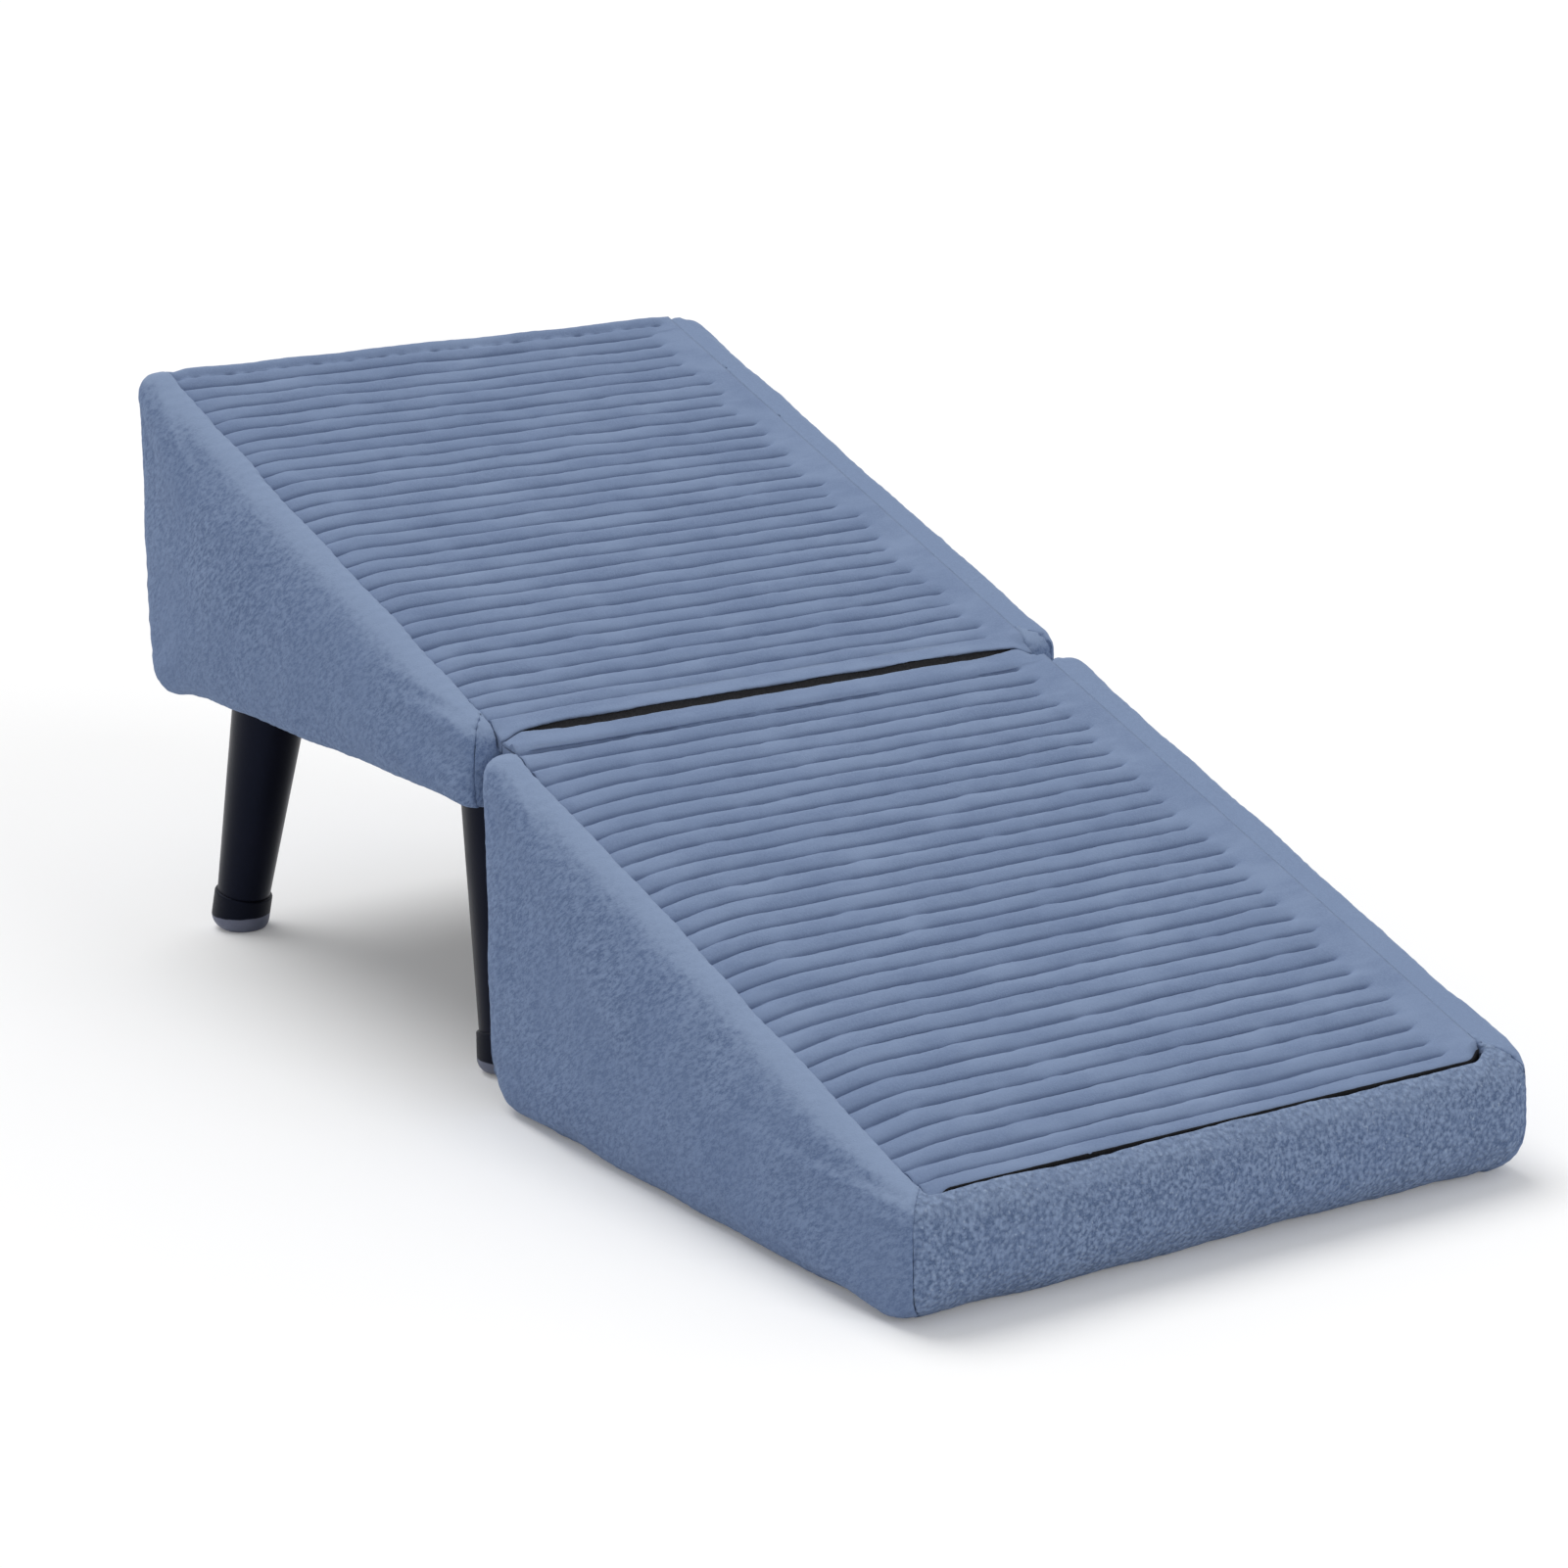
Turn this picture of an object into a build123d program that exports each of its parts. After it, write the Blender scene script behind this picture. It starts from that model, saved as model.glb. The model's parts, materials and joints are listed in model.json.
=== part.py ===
from build123d import *
import os
from math import cos, radians, sin, tan

# A folding ramp of two padded wedges. X runs across it, +Y up the ramp from the fold, and Z = 0 is the floor.
# Sizes are in millimetres and angles in degrees.

# Overall form
WIDTH = 400.0
SECTION_LENGTH = 418.0      # one wedge, front face to back face
FOLD_GAP = 6.0              # slit between the wedges
SLOPE = 19.3                # of the walking surface
LIP_HEIGHT = 66.0           # rims above the floor at the front face
NOSE_HEIGHT = 47.0          # thin end of the raised wedge
FOLD_RISE = 0.5             # fold axis above the rims, which keeps folded rims from touching

# Padded panels
SIDE_PANEL = 17.5           # thickness of a side panel, whose top is the rim beside the tread
EDGE_ROUND = 10.5           # outer edge of a side panel
RIM_ROUND = 3.0             # inner edge of the rim
TOP_ROUND = 17.0            # top corners of a wedge
FLOOR_ROUND = 31.0          # bottom corners of the low wedge
BACK_ROUND = 26.0           # bottom back corner of the raised wedge
NOSE_ROUND = 14.0           # bottom front corner of the raised wedge
END_ROLL = 10.0             # padded roll that closes a tread at the far end from the fold
CREASE = 1.2                # between that roll and the tread

# Ribbed treads, with depths measured square to the slope from the rims
TREAD = 12.0                # underside of the pad
RIB_PITCH = 13.5            # wanted spacing; the ribs share the length that there is
RIB_HEIGHT = 3.5
RIB_DEPTH = 1.5             # crest of a rib
GROOVE = 1.2                # width of a sewn channel
HEM_DEPTH = 0.8             # flat bands at the ends of the ribs
FRONT_HEM = 1.5
FOLD_HEM = 15.0
BACK_HEM = 19.0
SIDE_DIP = 5.5              # how far the ribs fall away at the rims
DIP_WIDTH = 40.0            # over this much of the width
DIP_FADE = 3                # ribs from a hem over which the fall fades out

# Base of the raised wedge, and the cloth under both wedges
BOARD = 12.0
BASE_CLOTH = 1.2
FLOOR_CLOTH = 2.0

# Splayed legs
LEG_INSET_X = 56.0          # top of a leg from the side of the wedge
LEG_INSET_Y = 65.5          # top of a leg from the end of the wedge
LEG_SPLAY = 11.5            # from upright
LEG_TOE = 29.0              # direction of the splay, from the length towards the side
LEG_TOP_RADIUS = 24.0
LEG_END_RADIUS = 16.8       # just above the foot cap
SPIGOT_RADIUS = 14.5        # turned end of the leg, inside the cap
CAP_RADIUS = 18.4
CAP_HEIGHT = 24.0           # along the leg
CAP_BASE = 7.0              # thickness under the spigot
CAP_ROUND = 9.0
CAP_RIM_ROUND = 1.5
CAP_LEVEL = 1.0             # base of the cap past the floor, cut level

# Mounting plates, bolts and screws of the legs
PLATE = 48.0
PLATE_THICKNESS = 2.5
PLATE_CORNER = 5.0
PLATE_HOLES = 36.0          # spacing of the screws
SEAT_RADIUS = 20.0          # slanted seat that meets the top of the leg
SEAT_GAP = 0.4              # leg to plate on the high side of the slanted seat
BOSS_RADIUS = 9.0
BOSS_REACH = 11.0           # threaded boss above the underside of the plate
BOLT_RADIUS = 4.0
BOLT_IN_LEG = 24.0
BOLT_IN_BOSS = 9.0
SCREW_RADIUS = 1.75
SCREW_HEAD_RADIUS = 4.0
SCREW_HEAD = 2.2
SCREW_REACH = 14.0          # from the underside of the plate
HOLE_CLEARANCE = 0.15
BOSS_CLEARANCE = 1.0

# Woven tape of the fold
TAPE = 1.0
TAPE_DEPTH = 2.3            # top of the tape
TAPE_REACH = 15.0           # into each tread, from the fold
TAPE_INSET = 5.0            # ends of the tape from the rims
TAPE_CLEARANCE = 0.1

# Zip across the back of the low wedge
ZIP_INSET = 51.0            # ends of the zip from the side panels
ZIP_TAPE = 9.0
ZIP_TAPE_THICKNESS = 1.0
ZIP_COIL = 4.5              # width of the closed coil
ZIP_COIL_HEIGHT = 1.0
ZIP_RECESS = 0.2            # coil below the face of the panel
ZIP_RISE = 14.0             # middle of the zip above the rounded bottom corner
ZIP_CLEARANCE = 0.1
ZIP_PARK = 12.0             # slider from the closed end
SLIDER_LENGTH = 11.0
SLIDER_HEIGHT = 8.0
SLIDER_THICKNESS = 3.2
SLIDER_CORNER = 2.0
SLIDER_GAP = 0.3
LUG = 1.2                   # thickness of the ears that hold the pin
PIN_RADIUS = 0.7
PIN_CLEARANCE = 0.15
KNUCKLE_RADIUS = 1.6
KNUCKLE_WIDTH = 3.6
KNUCKLE_SIDE_GAP = 0.3
PULL_LENGTH = 26.0          # pin to tip
PULL_WIDTH = 6.0
PULL_THICKNESS = 1.3
PULL_CORNER = 2.4
PULL_NECK = 5.0             # narrow length under the knuckle
PULL_HOLE_RADIUS = 1.4

# Places that follow from the sizes
HALF_WIDTH = WIDTH / 2
HALF_TREAD = HALF_WIDTH - SIDE_PANEL
LOW_FOLD_Y = -FOLD_GAP / 2
FRONT_Y = LOW_FOLD_Y - SECTION_LENGTH
HIGH_FOLD_Y = FOLD_GAP / 2
BACK_Y = HIGH_FOLD_Y + SECTION_LENGTH


def surface_z(y, depth=0.0):
    """Height at y of the plane that lies depth below the rims, square to the slope."""
    slope = radians(SLOPE)
    return LIP_HEIGHT + (y - FRONT_Y) * tan(slope) - depth / cos(slope)


FOLD_AXIS_Z = surface_z(0) + FOLD_RISE
UNDERSIDE_Z = surface_z(HIGH_FOLD_Y) - NOSE_HEIGHT
BOARD_Z = UNDERSIDE_Z + BASE_CLOTH
BOARD_TOP_Z = BOARD_Z + BOARD
PLATE_Z = UNDERSIDE_Z - PLATE_THICKNESS
ZIP_LENGTH = 2 * (HALF_TREAD - ZIP_INSET)
ZIP_Z = FLOOR_ROUND + ZIP_RISE
ZIP_X = ZIP_LENGTH / 2 - ZIP_PARK
ZIP_FACE_Y = LOW_FOLD_Y - ZIP_RECESS
SLIDER_Y = ZIP_FACE_Y + SLIDER_GAP
PIN_Y = SLIDER_Y + SLIDER_THICKNESS + KNUCKLE_RADIUS + KNUCKLE_SIDE_GAP

SIDES = {"left": -1, "right": 1}
ENDS = {"front": -1, "rear": 1}


def block(x_span, y_span, z_span):
    """Box between the given limits."""
    spans = (x_span, y_span, z_span)
    middle = [(low + high) / 2 for low, high in spans]
    size = [high - low for low, high in spans]
    return Pos(*middle) * Box(*size)


def across(profile, x_low, x_high):
    """A (y, z) profile carried across the ramp."""
    face = Plane.YZ.offset(x_low) * make_face(profile)
    return extrude(face, x_high - x_low, dir=(1, 0, 0))


def slanted(y_low, y_high, top, bottom, half_width):
    """Slab that follows the slope between two depths, with upright ends."""
    profile = Polyline(
        (y_low, surface_z(y_low, bottom)),
        (y_low, surface_z(y_low, top)),
        (y_high, surface_z(y_high, top)),
        (y_high, surface_z(y_high, bottom)),
        close=True,
    )
    return across(profile, -half_width, half_width)


def wedge(y_low, y_high, z_bottom, rounds, x_low, x_high):
    """Side outline of a section, with its corners rounded from the bottom front round the top."""
    corners = (
        (y_low, z_bottom),
        (y_low, surface_z(y_low)),
        (y_high, surface_z(y_high)),
        (y_high, z_bottom),
    )
    return across(FilletPolyline(*corners, radius=rounds, close=True), x_low, x_high)


def side_panel(y_low, y_high, z_bottom, rounds):
    """Right-hand padded panel: full rounded outer edge, small round inside the rim."""
    panel = wedge(y_low, y_high, z_bottom, rounds, HALF_TREAD, HALF_WIDTH)
    edge_round = min(EDGE_ROUND, 0.9 * min(rounds), 0.8 * SIDE_PANEL)
    panel = fillet(panel.faces().sort_by(Axis.X)[-1].edges(), edge_round)
    rim = panel.faces().sort_by(Axis.X)[0].edges().filter_by(GeomType.LINE).sort_by(Axis.Z)[-2:]
    longest = max(rim, key=lambda edge: edge.length)
    return fillet(longest, min(RIM_ROUND, SIDE_PANEL - edge_round - 1.0))


def corner_seams(end_y, inward):
    """Triangles in plan, carried up, that give the end panels their mitred corners: the seams lie on the edges."""
    corners = []
    for side in SIDES.values():
        outline = Polyline(
            (side * HALF_WIDTH, end_y),
            (side * HALF_TREAD, end_y),
            (side * HALF_TREAD, end_y + inward * SIDE_PANEL),
            close=True,
        )
        corners.append(extrude(make_face(outline), surface_z(BACK_Y), dir=(0, 0, 1)))
    return corners


def mitred(sides, front, back, y_low, y_high):
    """Hands the corners of the side panels to the front and back panels, up to a seam on each upright edge."""
    front_corners = corner_seams(y_low, 1)
    back_corners = corner_seams(y_high, -1)
    cut_sides = []
    for side, front_corner, back_corner in zip(sides, front_corners, back_corners):
        front += side & front_corner
        back += side & back_corner
        cut_sides.append(side - front_corner - back_corner)
    return *cut_sides, front, back


def rib_fall(groove, ribs):
    """Share of the side fall that a groove takes, which fades out towards the hems."""
    return min(1.0, groove / DIP_FADE, (ribs - groove) / DIP_FADE)


def tread_section(x, y_low, y_high, low_hem, high_hem):
    """Ribbed outline of a tread at x: hems, sewn channels and an arc for each rib."""
    run = cos(radians(SLOPE))
    ribs = round(((y_high - y_low) / run - low_hem - high_hem) / RIB_PITCH)
    first = y_low + low_hem * run
    pitch = (y_high - high_hem * run - first) / ribs
    half_groove = GROOVE * run / 2
    past = max(0.0, abs(x) - (HALF_TREAD - DIP_WIDTH)) / DIP_WIDTH
    dip = SIDE_DIP * past**2

    def at(y, depth):
        return (y, surface_z(y, depth))

    def floor_of(groove):
        return RIB_DEPTH + RIB_HEIGHT + dip * rib_fall(groove, ribs)

    edges = [
        Line(at(y_low, TREAD), at(y_low, HEM_DEPTH)),
        Line(at(y_low, HEM_DEPTH), at(first - half_groove, HEM_DEPTH)),
        Line(at(first - half_groove, HEM_DEPTH), at(first + half_groove, floor_of(0))),
    ]
    for rib in range(ribs):
        start = at(first + rib * pitch + half_groove, floor_of(rib))
        next_groove = first + (rib + 1) * pitch
        end = at(next_groove - half_groove, floor_of(rib + 1))
        edges.append(SagittaArc(start, end, RIB_HEIGHT))
        last = rib == ribs - 1
        edges.append(Line(end, at(next_groove + half_groove, HEM_DEPTH if last else floor_of(rib + 1))))
    edges.append(Line(edges[-1] @ 1, at(y_high, HEM_DEPTH)))
    edges.append(Line(at(y_high, HEM_DEPTH), at(y_high, TREAD)))
    edges.append(Line(at(y_high, TREAD), at(y_low, TREAD)))
    return Plane.YZ.offset(x) * Face(Wire(edges))


def tread(y_low, y_high, low_hem, high_hem):
    """Crowned ribbed pad, lofted across the ramp, with a slot for the tape at the fold."""
    stations = (HALF_TREAD, HALF_TREAD - DIP_WIDTH / 3, HALF_TREAD - DIP_WIDTH)
    places = [-x for x in stations] + list(reversed(stations))
    pad = loft([tread_section(x, y_low, y_high, low_hem, high_hem) for x in places], ruled=True)
    reach = TAPE_REACH + TAPE_CLEARANCE
    slot = slanted(
        -reach,
        reach,
        TAPE_DEPTH - TAPE_CLEARANCE,
        TAPE_DEPTH + TAPE + TAPE_CLEARANCE,
        HALF_WIDTH,
    )
    return pad - slot


def hinge_tape():
    """Woven strip held in the slots of both treads."""
    return slanted(-TAPE_REACH, TAPE_REACH, TAPE_DEPTH, TAPE_DEPTH + TAPE, HALF_TREAD - TAPE_INSET)


def low_section():
    """Foam wedge that lies on the floor, in its zipped cover."""
    side_rounds = (FLOOR_ROUND, TOP_ROUND, TOP_ROUND, FLOOR_ROUND)
    middle_rounds = (FLOOR_ROUND, TOP_ROUND, 0, FLOOR_ROUND)
    right = side_panel(FRONT_Y, LOW_FOLD_Y, 0, side_rounds)
    middle = wedge(FRONT_Y, LOW_FOLD_Y, 0, middle_rounds, -HALF_TREAD, HALF_TREAD)
    tread_space = slanted(FRONT_Y + END_ROLL, HIGH_FOLD_Y, -TREAD, TREAD, HALF_WIDTH)
    ends = middle - tread_space
    core_low = FRONT_Y + FLOOR_ROUND
    core_high = LOW_FOLD_Y - FLOOR_ROUND
    top_z = surface_z(BACK_Y)
    across_all = (-HALF_WIDTH, HALF_WIDTH)
    front = ends & block(across_all, (FRONT_Y, core_low), (0, top_z))
    back = ends & block(across_all, (core_high, LOW_FOLD_Y), (0, top_z))
    core = ends & block(across_all, (core_low, core_high), (FLOOR_CLOTH, top_z))
    sides = (mirror(right, Plane.YZ), right)
    left, right, front, back = mitred(sides, front, back, FRONT_Y, LOW_FOLD_Y)
    return {
        "lower_side_panel_left": left,
        "lower_side_panel_right": right,
        "lower_front_panel": front,
        "lower_back_panel": back - zip_slot(),
        "lower_foam_core": core,
        "lower_tread": tread(FRONT_Y + END_ROLL + CREASE, LOW_FOLD_Y, FRONT_HEM, FOLD_HEM),
        "lower_bottom_panel": block((-HALF_TREAD, HALF_TREAD), (core_low, core_high), (0, FLOOR_CLOTH)),
    }


def high_section():
    """Raised foam wedge on a board, with cloth stretched under it."""
    side_rounds = (NOSE_ROUND, TOP_ROUND, TOP_ROUND, BACK_ROUND)
    middle_rounds = (NOSE_ROUND, 0, TOP_ROUND, BACK_ROUND)
    right = side_panel(HIGH_FOLD_Y, BACK_Y, UNDERSIDE_Z, side_rounds)
    middle = wedge(HIGH_FOLD_Y, BACK_Y, UNDERSIDE_Z, middle_rounds, -HALF_TREAD, HALF_TREAD)
    tread_space = slanted(LOW_FOLD_Y, BACK_Y - END_ROLL, -TREAD, TREAD, HALF_WIDTH)
    ends = middle - tread_space
    core_low = HIGH_FOLD_Y + NOSE_ROUND
    core_high = BACK_Y - BACK_ROUND
    top_z = surface_z(BACK_Y)
    across_all = (-HALF_WIDTH, HALF_WIDTH)
    nose = ends & block(across_all, (HIGH_FOLD_Y, core_low), (UNDERSIDE_Z, top_z))
    back = ends & block(across_all, (core_high, BACK_Y), (UNDERSIDE_Z, top_z))
    sides = (mirror(right, Plane.YZ), right)
    left, right, nose, back = mitred(sides, nose, back, HIGH_FOLD_Y, BACK_Y)
    inside = ((-HALF_TREAD, HALF_TREAD), (core_low, core_high))
    cloth = block(*inside, (UNDERSIDE_Z, BOARD_Z))
    board = block(*inside, (BOARD_Z, BOARD_TOP_Z))
    for end in ENDS.values():
        for side in SIDES.values():
            openings = plate_openings(side, end)
            cloth -= openings
            board -= openings
    return {
        "upper_side_panel_left": left,
        "upper_side_panel_right": right,
        "upper_nose_panel": nose,
        "upper_back_panel": back,
        "upper_foam_core": ends & block(across_all, (core_low, core_high), (BOARD_TOP_Z, top_z)),
        "upper_tread": tread(HIGH_FOLD_Y, BACK_Y - END_ROLL - CREASE, FOLD_HEM, BACK_HEM),
        "upper_base_board": board,
        "upper_bottom_cloth": cloth,
    }


def leg_top(side, end):
    """Point under the plate that the axis of a leg passes through."""
    middle_y = (HIGH_FOLD_Y + BACK_Y) / 2
    return (
        side * (HALF_WIDTH - LEG_INSET_X),
        middle_y + end * (SECTION_LENGTH / 2 - LEG_INSET_Y),
        PLATE_Z,
    )


def leg_frame(side, end):
    """Plane at the top of a leg, with Z up along the leg."""
    splay = radians(LEG_SPLAY)
    toe = radians(LEG_TOE)
    up = (-side * sin(splay) * sin(toe), -end * sin(splay) * cos(toe), cos(splay))
    return Plane(origin=leg_top(side, end), z_dir=up)


def leg_levels():
    """Heights along a leg, from its frame: top of the leg, shoulder, end of the spigot and base of the cap."""
    splay = radians(LEG_SPLAY)
    seat = -(LEG_TOP_RADIUS * tan(splay) + SEAT_GAP)
    floor = -PLATE_Z / cos(splay)
    base = floor - CAP_LEVEL
    return seat, floor + CAP_HEIGHT, base + CAP_BASE, base


def turned(profile):
    """A (radius, height) profile turned about Z."""
    return revolve(Plane.XZ * make_face(profile), Axis.Z)


def rod(radius, z_low, z_high):
    """Cylinder on Z between two heights."""
    return Pos(0, 0, z_low) * Cylinder(radius, z_high - z_low, align=(Align.CENTER, Align.CENTER, Align.MIN))


def leg():
    """Tapered leg with a bolt hole in its top and a turned spigot at its end."""
    seat, shoulder, spigot_end, _ = leg_levels()
    bore = BOLT_RADIUS + HOLE_CLEARANCE
    bore_end = seat - BOLT_IN_LEG - HOLE_CLEARANCE
    return turned(
        Polyline(
            (bore, seat),
            (LEG_TOP_RADIUS, seat),
            (LEG_END_RADIUS, shoulder),
            (SPIGOT_RADIUS, shoulder),
            (SPIGOT_RADIUS, spigot_end),
            (0, spigot_end),
            (0, bore_end),
            (bore, bore_end),
            close=True,
        )
    )


def foot_cap(frame):
    """Moulded cap over the spigot, cut level where it stands on the floor."""
    _, shoulder, spigot_end, base = leg_levels()
    socket = SPIGOT_RADIUS + HOLE_CLEARANCE
    profile = FilletPolyline(
        (0, spigot_end),
        (socket, spigot_end),
        (socket, shoulder),
        (CAP_RADIUS, shoulder),
        (CAP_RADIUS, base),
        (0, base),
        radius=(0, 0, 0, CAP_RIM_ROUND, CAP_ROUND, 0),
        close=True,
    )
    cap = frame * turned(profile)
    foot = frame.origin + frame.z_dir * base
    reach = 2 * CAP_RADIUS
    under_floor = block((foot.X - reach, foot.X + reach), (foot.Y - reach, foot.Y + reach), (-reach, 0))
    return cap - under_floor


def screw_places(side, end):
    """The four screws of a plate, in plan."""
    x, y, _ = leg_top(side, end)
    half = PLATE_HOLES / 2
    return [(x + i * half, y + j * half) for i in (-1, 1) for j in (-1, 1)]


def screw(clearance=0.0):
    """Countersunk screw pointing up from the underside of a plate, or its hole with a clearance."""
    head = SCREW_HEAD_RADIUS + clearance
    shank = SCREW_RADIUS + clearance
    tip = SCREW_REACH + clearance
    profile = Polyline((0, 0), (head, 0), (shank, SCREW_HEAD), (shank, tip), (0, tip), close=True)
    return turned(profile)


def plate_openings(side, end):
    """What a plate needs cut from the board and cloth above it: screw holes and room for the boss."""
    x, y, _ = leg_top(side, end)
    lean = tan(radians(LEG_SPLAY)) * (BOARD_TOP_Z - PLATE_Z) / 2
    boss_hole = BOSS_RADIUS / cos(radians(LEG_SPLAY)) + lean + BOSS_CLEARANCE
    toe = radians(LEG_TOE)
    middle = Pos(x - side * lean * sin(toe), y - end * lean * cos(toe), 0)
    holes = [middle * rod(boss_hole, UNDERSIDE_Z, BOARD_TOP_Z)]
    holes += [Pos(*place, PLATE_Z) * screw(HOLE_CLEARANCE) for place in screw_places(side, end)]
    return holes


def leg_plate(side, end, frame):
    """Pressed plate with a slanted seat for the leg and a threaded boss in line with it."""
    x, y, z = leg_top(side, end)
    flat = Pos(x, y, z) * extrude(RectangleRounded(PLATE, PLATE, PLATE_CORNER), PLATE_THICKNESS)
    seat, _, _, _ = leg_levels()
    seat_wedge = frame * rod(SEAT_RADIUS, seat, -seat)
    seat_wedge &= block((x - PLATE, x + PLATE), (y - PLATE, y + PLATE), (z + 2 * seat, z))
    plate = flat + seat_wedge + frame * rod(BOSS_RADIUS, 0, BOSS_REACH)
    plate -= frame * rod(BOLT_RADIUS + HOLE_CLEARANCE, 2 * seat, 2 * BOSS_REACH)
    for place in screw_places(side, end):
        plate -= Pos(*place, z) * screw(HOLE_CLEARANCE)
    return plate


def legs():
    """Four legs with their caps, plates and bolts, and the screws of all the plates."""
    nodes = {}
    screws = []
    seat, _, _, _ = leg_levels()
    for end_name, end in ENDS.items():
        for side_name, side in SIDES.items():
            corner = f"{end_name}_{side_name}"
            frame = leg_frame(side, end)
            nodes[f"leg_{corner}"] = frame * leg()
            nodes[f"foot_cap_{corner}"] = foot_cap(frame)
            nodes[f"leg_plate_{corner}"] = leg_plate(side, end, frame)
            nodes[f"leg_bolt_{corner}"] = frame * rod(BOLT_RADIUS, seat - BOLT_IN_LEG, BOLT_IN_BOSS)
            screws += [Pos(*place, PLATE_Z) * screw() for place in screw_places(side, end)]
    nodes["leg_plate_screws"] = Compound(children=screws)
    return nodes


def zip_slot():
    """Recess in the back panel for the zip."""
    depth = ZIP_RECESS + ZIP_COIL_HEIGHT + ZIP_TAPE_THICKNESS
    half_length = ZIP_LENGTH / 2 + ZIP_CLEARANCE
    half_tape = ZIP_TAPE / 2 + ZIP_CLEARANCE
    return block(
        (-half_length, half_length),
        (LOW_FOLD_Y - depth, LOW_FOLD_Y + depth),
        (ZIP_Z - half_tape, ZIP_Z + half_tape),
    )


def zip_chain():
    """Tape on the floor of the recess with the closed coil standing on it."""
    coil_y = ZIP_FACE_Y - ZIP_COIL_HEIGHT
    tape_y = coil_y - ZIP_TAPE_THICKNESS
    half_tape = ZIP_TAPE / 2
    half_coil = ZIP_COIL / 2
    profile = Polyline(
        (tape_y, ZIP_Z - half_tape),
        (tape_y, ZIP_Z + half_tape),
        (coil_y, ZIP_Z + half_tape),
        (coil_y, ZIP_Z + half_coil),
        (ZIP_FACE_Y, ZIP_Z + half_coil),
        (ZIP_FACE_Y, ZIP_Z - half_coil),
        (coil_y, ZIP_Z - half_coil),
        (coil_y, ZIP_Z - half_tape),
        close=True,
    )
    return across(profile, -ZIP_LENGTH / 2, ZIP_LENGTH / 2)


def zip_slider():
    """Slider body with two ears and the pin between them."""
    plan = Plane.XZ * RectangleRounded(SLIDER_LENGTH, SLIDER_HEIGHT, SLIDER_CORNER)
    body = Pos(ZIP_X, SLIDER_Y, ZIP_Z) * extrude(plan, SLIDER_THICKNESS, dir=(0, 1, 0))
    ear_low = KNUCKLE_WIDTH / 2 + KNUCKLE_SIDE_GAP
    ear_high = ear_low + LUG
    face_y = SLIDER_Y + SLIDER_THICKNESS
    for side in SIDES.values():
        x_span = sorted((ZIP_X + side * ear_low, ZIP_X + side * ear_high))
        body += block(x_span, (face_y, PIN_Y), (ZIP_Z - KNUCKLE_RADIUS, ZIP_Z + KNUCKLE_RADIUS))
        body += Pos(x_span[0], PIN_Y, ZIP_Z) * Rot(0, 90, 0) * rod(KNUCKLE_RADIUS, 0, LUG)
    return body + Pos(ZIP_X, PIN_Y, ZIP_Z) * Rot(0, 90, 0) * rod(PIN_RADIUS, -ear_high, ear_high)


def zip_pull():
    """Pull that hangs from the pin by its knuckle."""
    half_neck = KNUCKLE_WIDTH / 2
    half_width = PULL_WIDTH / 2
    outline = FilletPolyline(
        (-half_neck, 0),
        (-half_neck, -PULL_NECK),
        (-half_width, -PULL_NECK - half_width),
        (-half_width, -PULL_LENGTH),
        (half_width, -PULL_LENGTH),
        (half_width, -PULL_NECK - half_width),
        (half_neck, -PULL_NECK),
        (half_neck, 0),
        radius=(0, 0, 0, PULL_CORNER, PULL_CORNER, 0, 0, 0),
        close=True,
    )
    flat = make_face(outline) - Pos(0, half_width - PULL_LENGTH) * Circle(PULL_HOLE_RADIUS)
    pull = Pos(0, -PULL_THICKNESS / 2, 0) * extrude(Plane.XZ * flat, PULL_THICKNESS, dir=(0, 1, 0))
    pull += Rot(0, 90, 0) * rod(KNUCKLE_RADIUS, -half_neck, half_neck)
    pull -= Rot(0, 90, 0) * rod(PIN_RADIUS + PIN_CLEARANCE, -KNUCKLE_WIDTH, KNUCKLE_WIDTH)
    return Pos(ZIP_X, PIN_Y, ZIP_Z) * pull


def nodes():
    """Every piece of the ramp by name."""
    pieces = low_section() | high_section() | legs()
    pieces["hinge_tape"] = hinge_tape()
    pieces["lower_zip_chain"] = zip_chain()
    pieces["zip_slider"] = zip_slider()
    pieces["zip_pull"] = zip_pull()
    return pieces


os.makedirs("parts", exist_ok=True)
for name, piece in nodes().items():
    export_step(piece, f"parts/{name}.step")
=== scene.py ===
"""Looks of a folding pet ramp: two padded wedges with channel-sewn treads, one of them on splayed legs.

X runs across the ramp, +Y up it from the fold, and Z = 0 is the floor. Sizes are in metres.
A pair of sizes is where a smooth step begins and where it ends.
"""

import json
import math
from collections import namedtuple

import bmesh
import bpy
import numpy as np
from mathutils import Matrix, Vector
from mathutils.bvhtree import BVHTree


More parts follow.
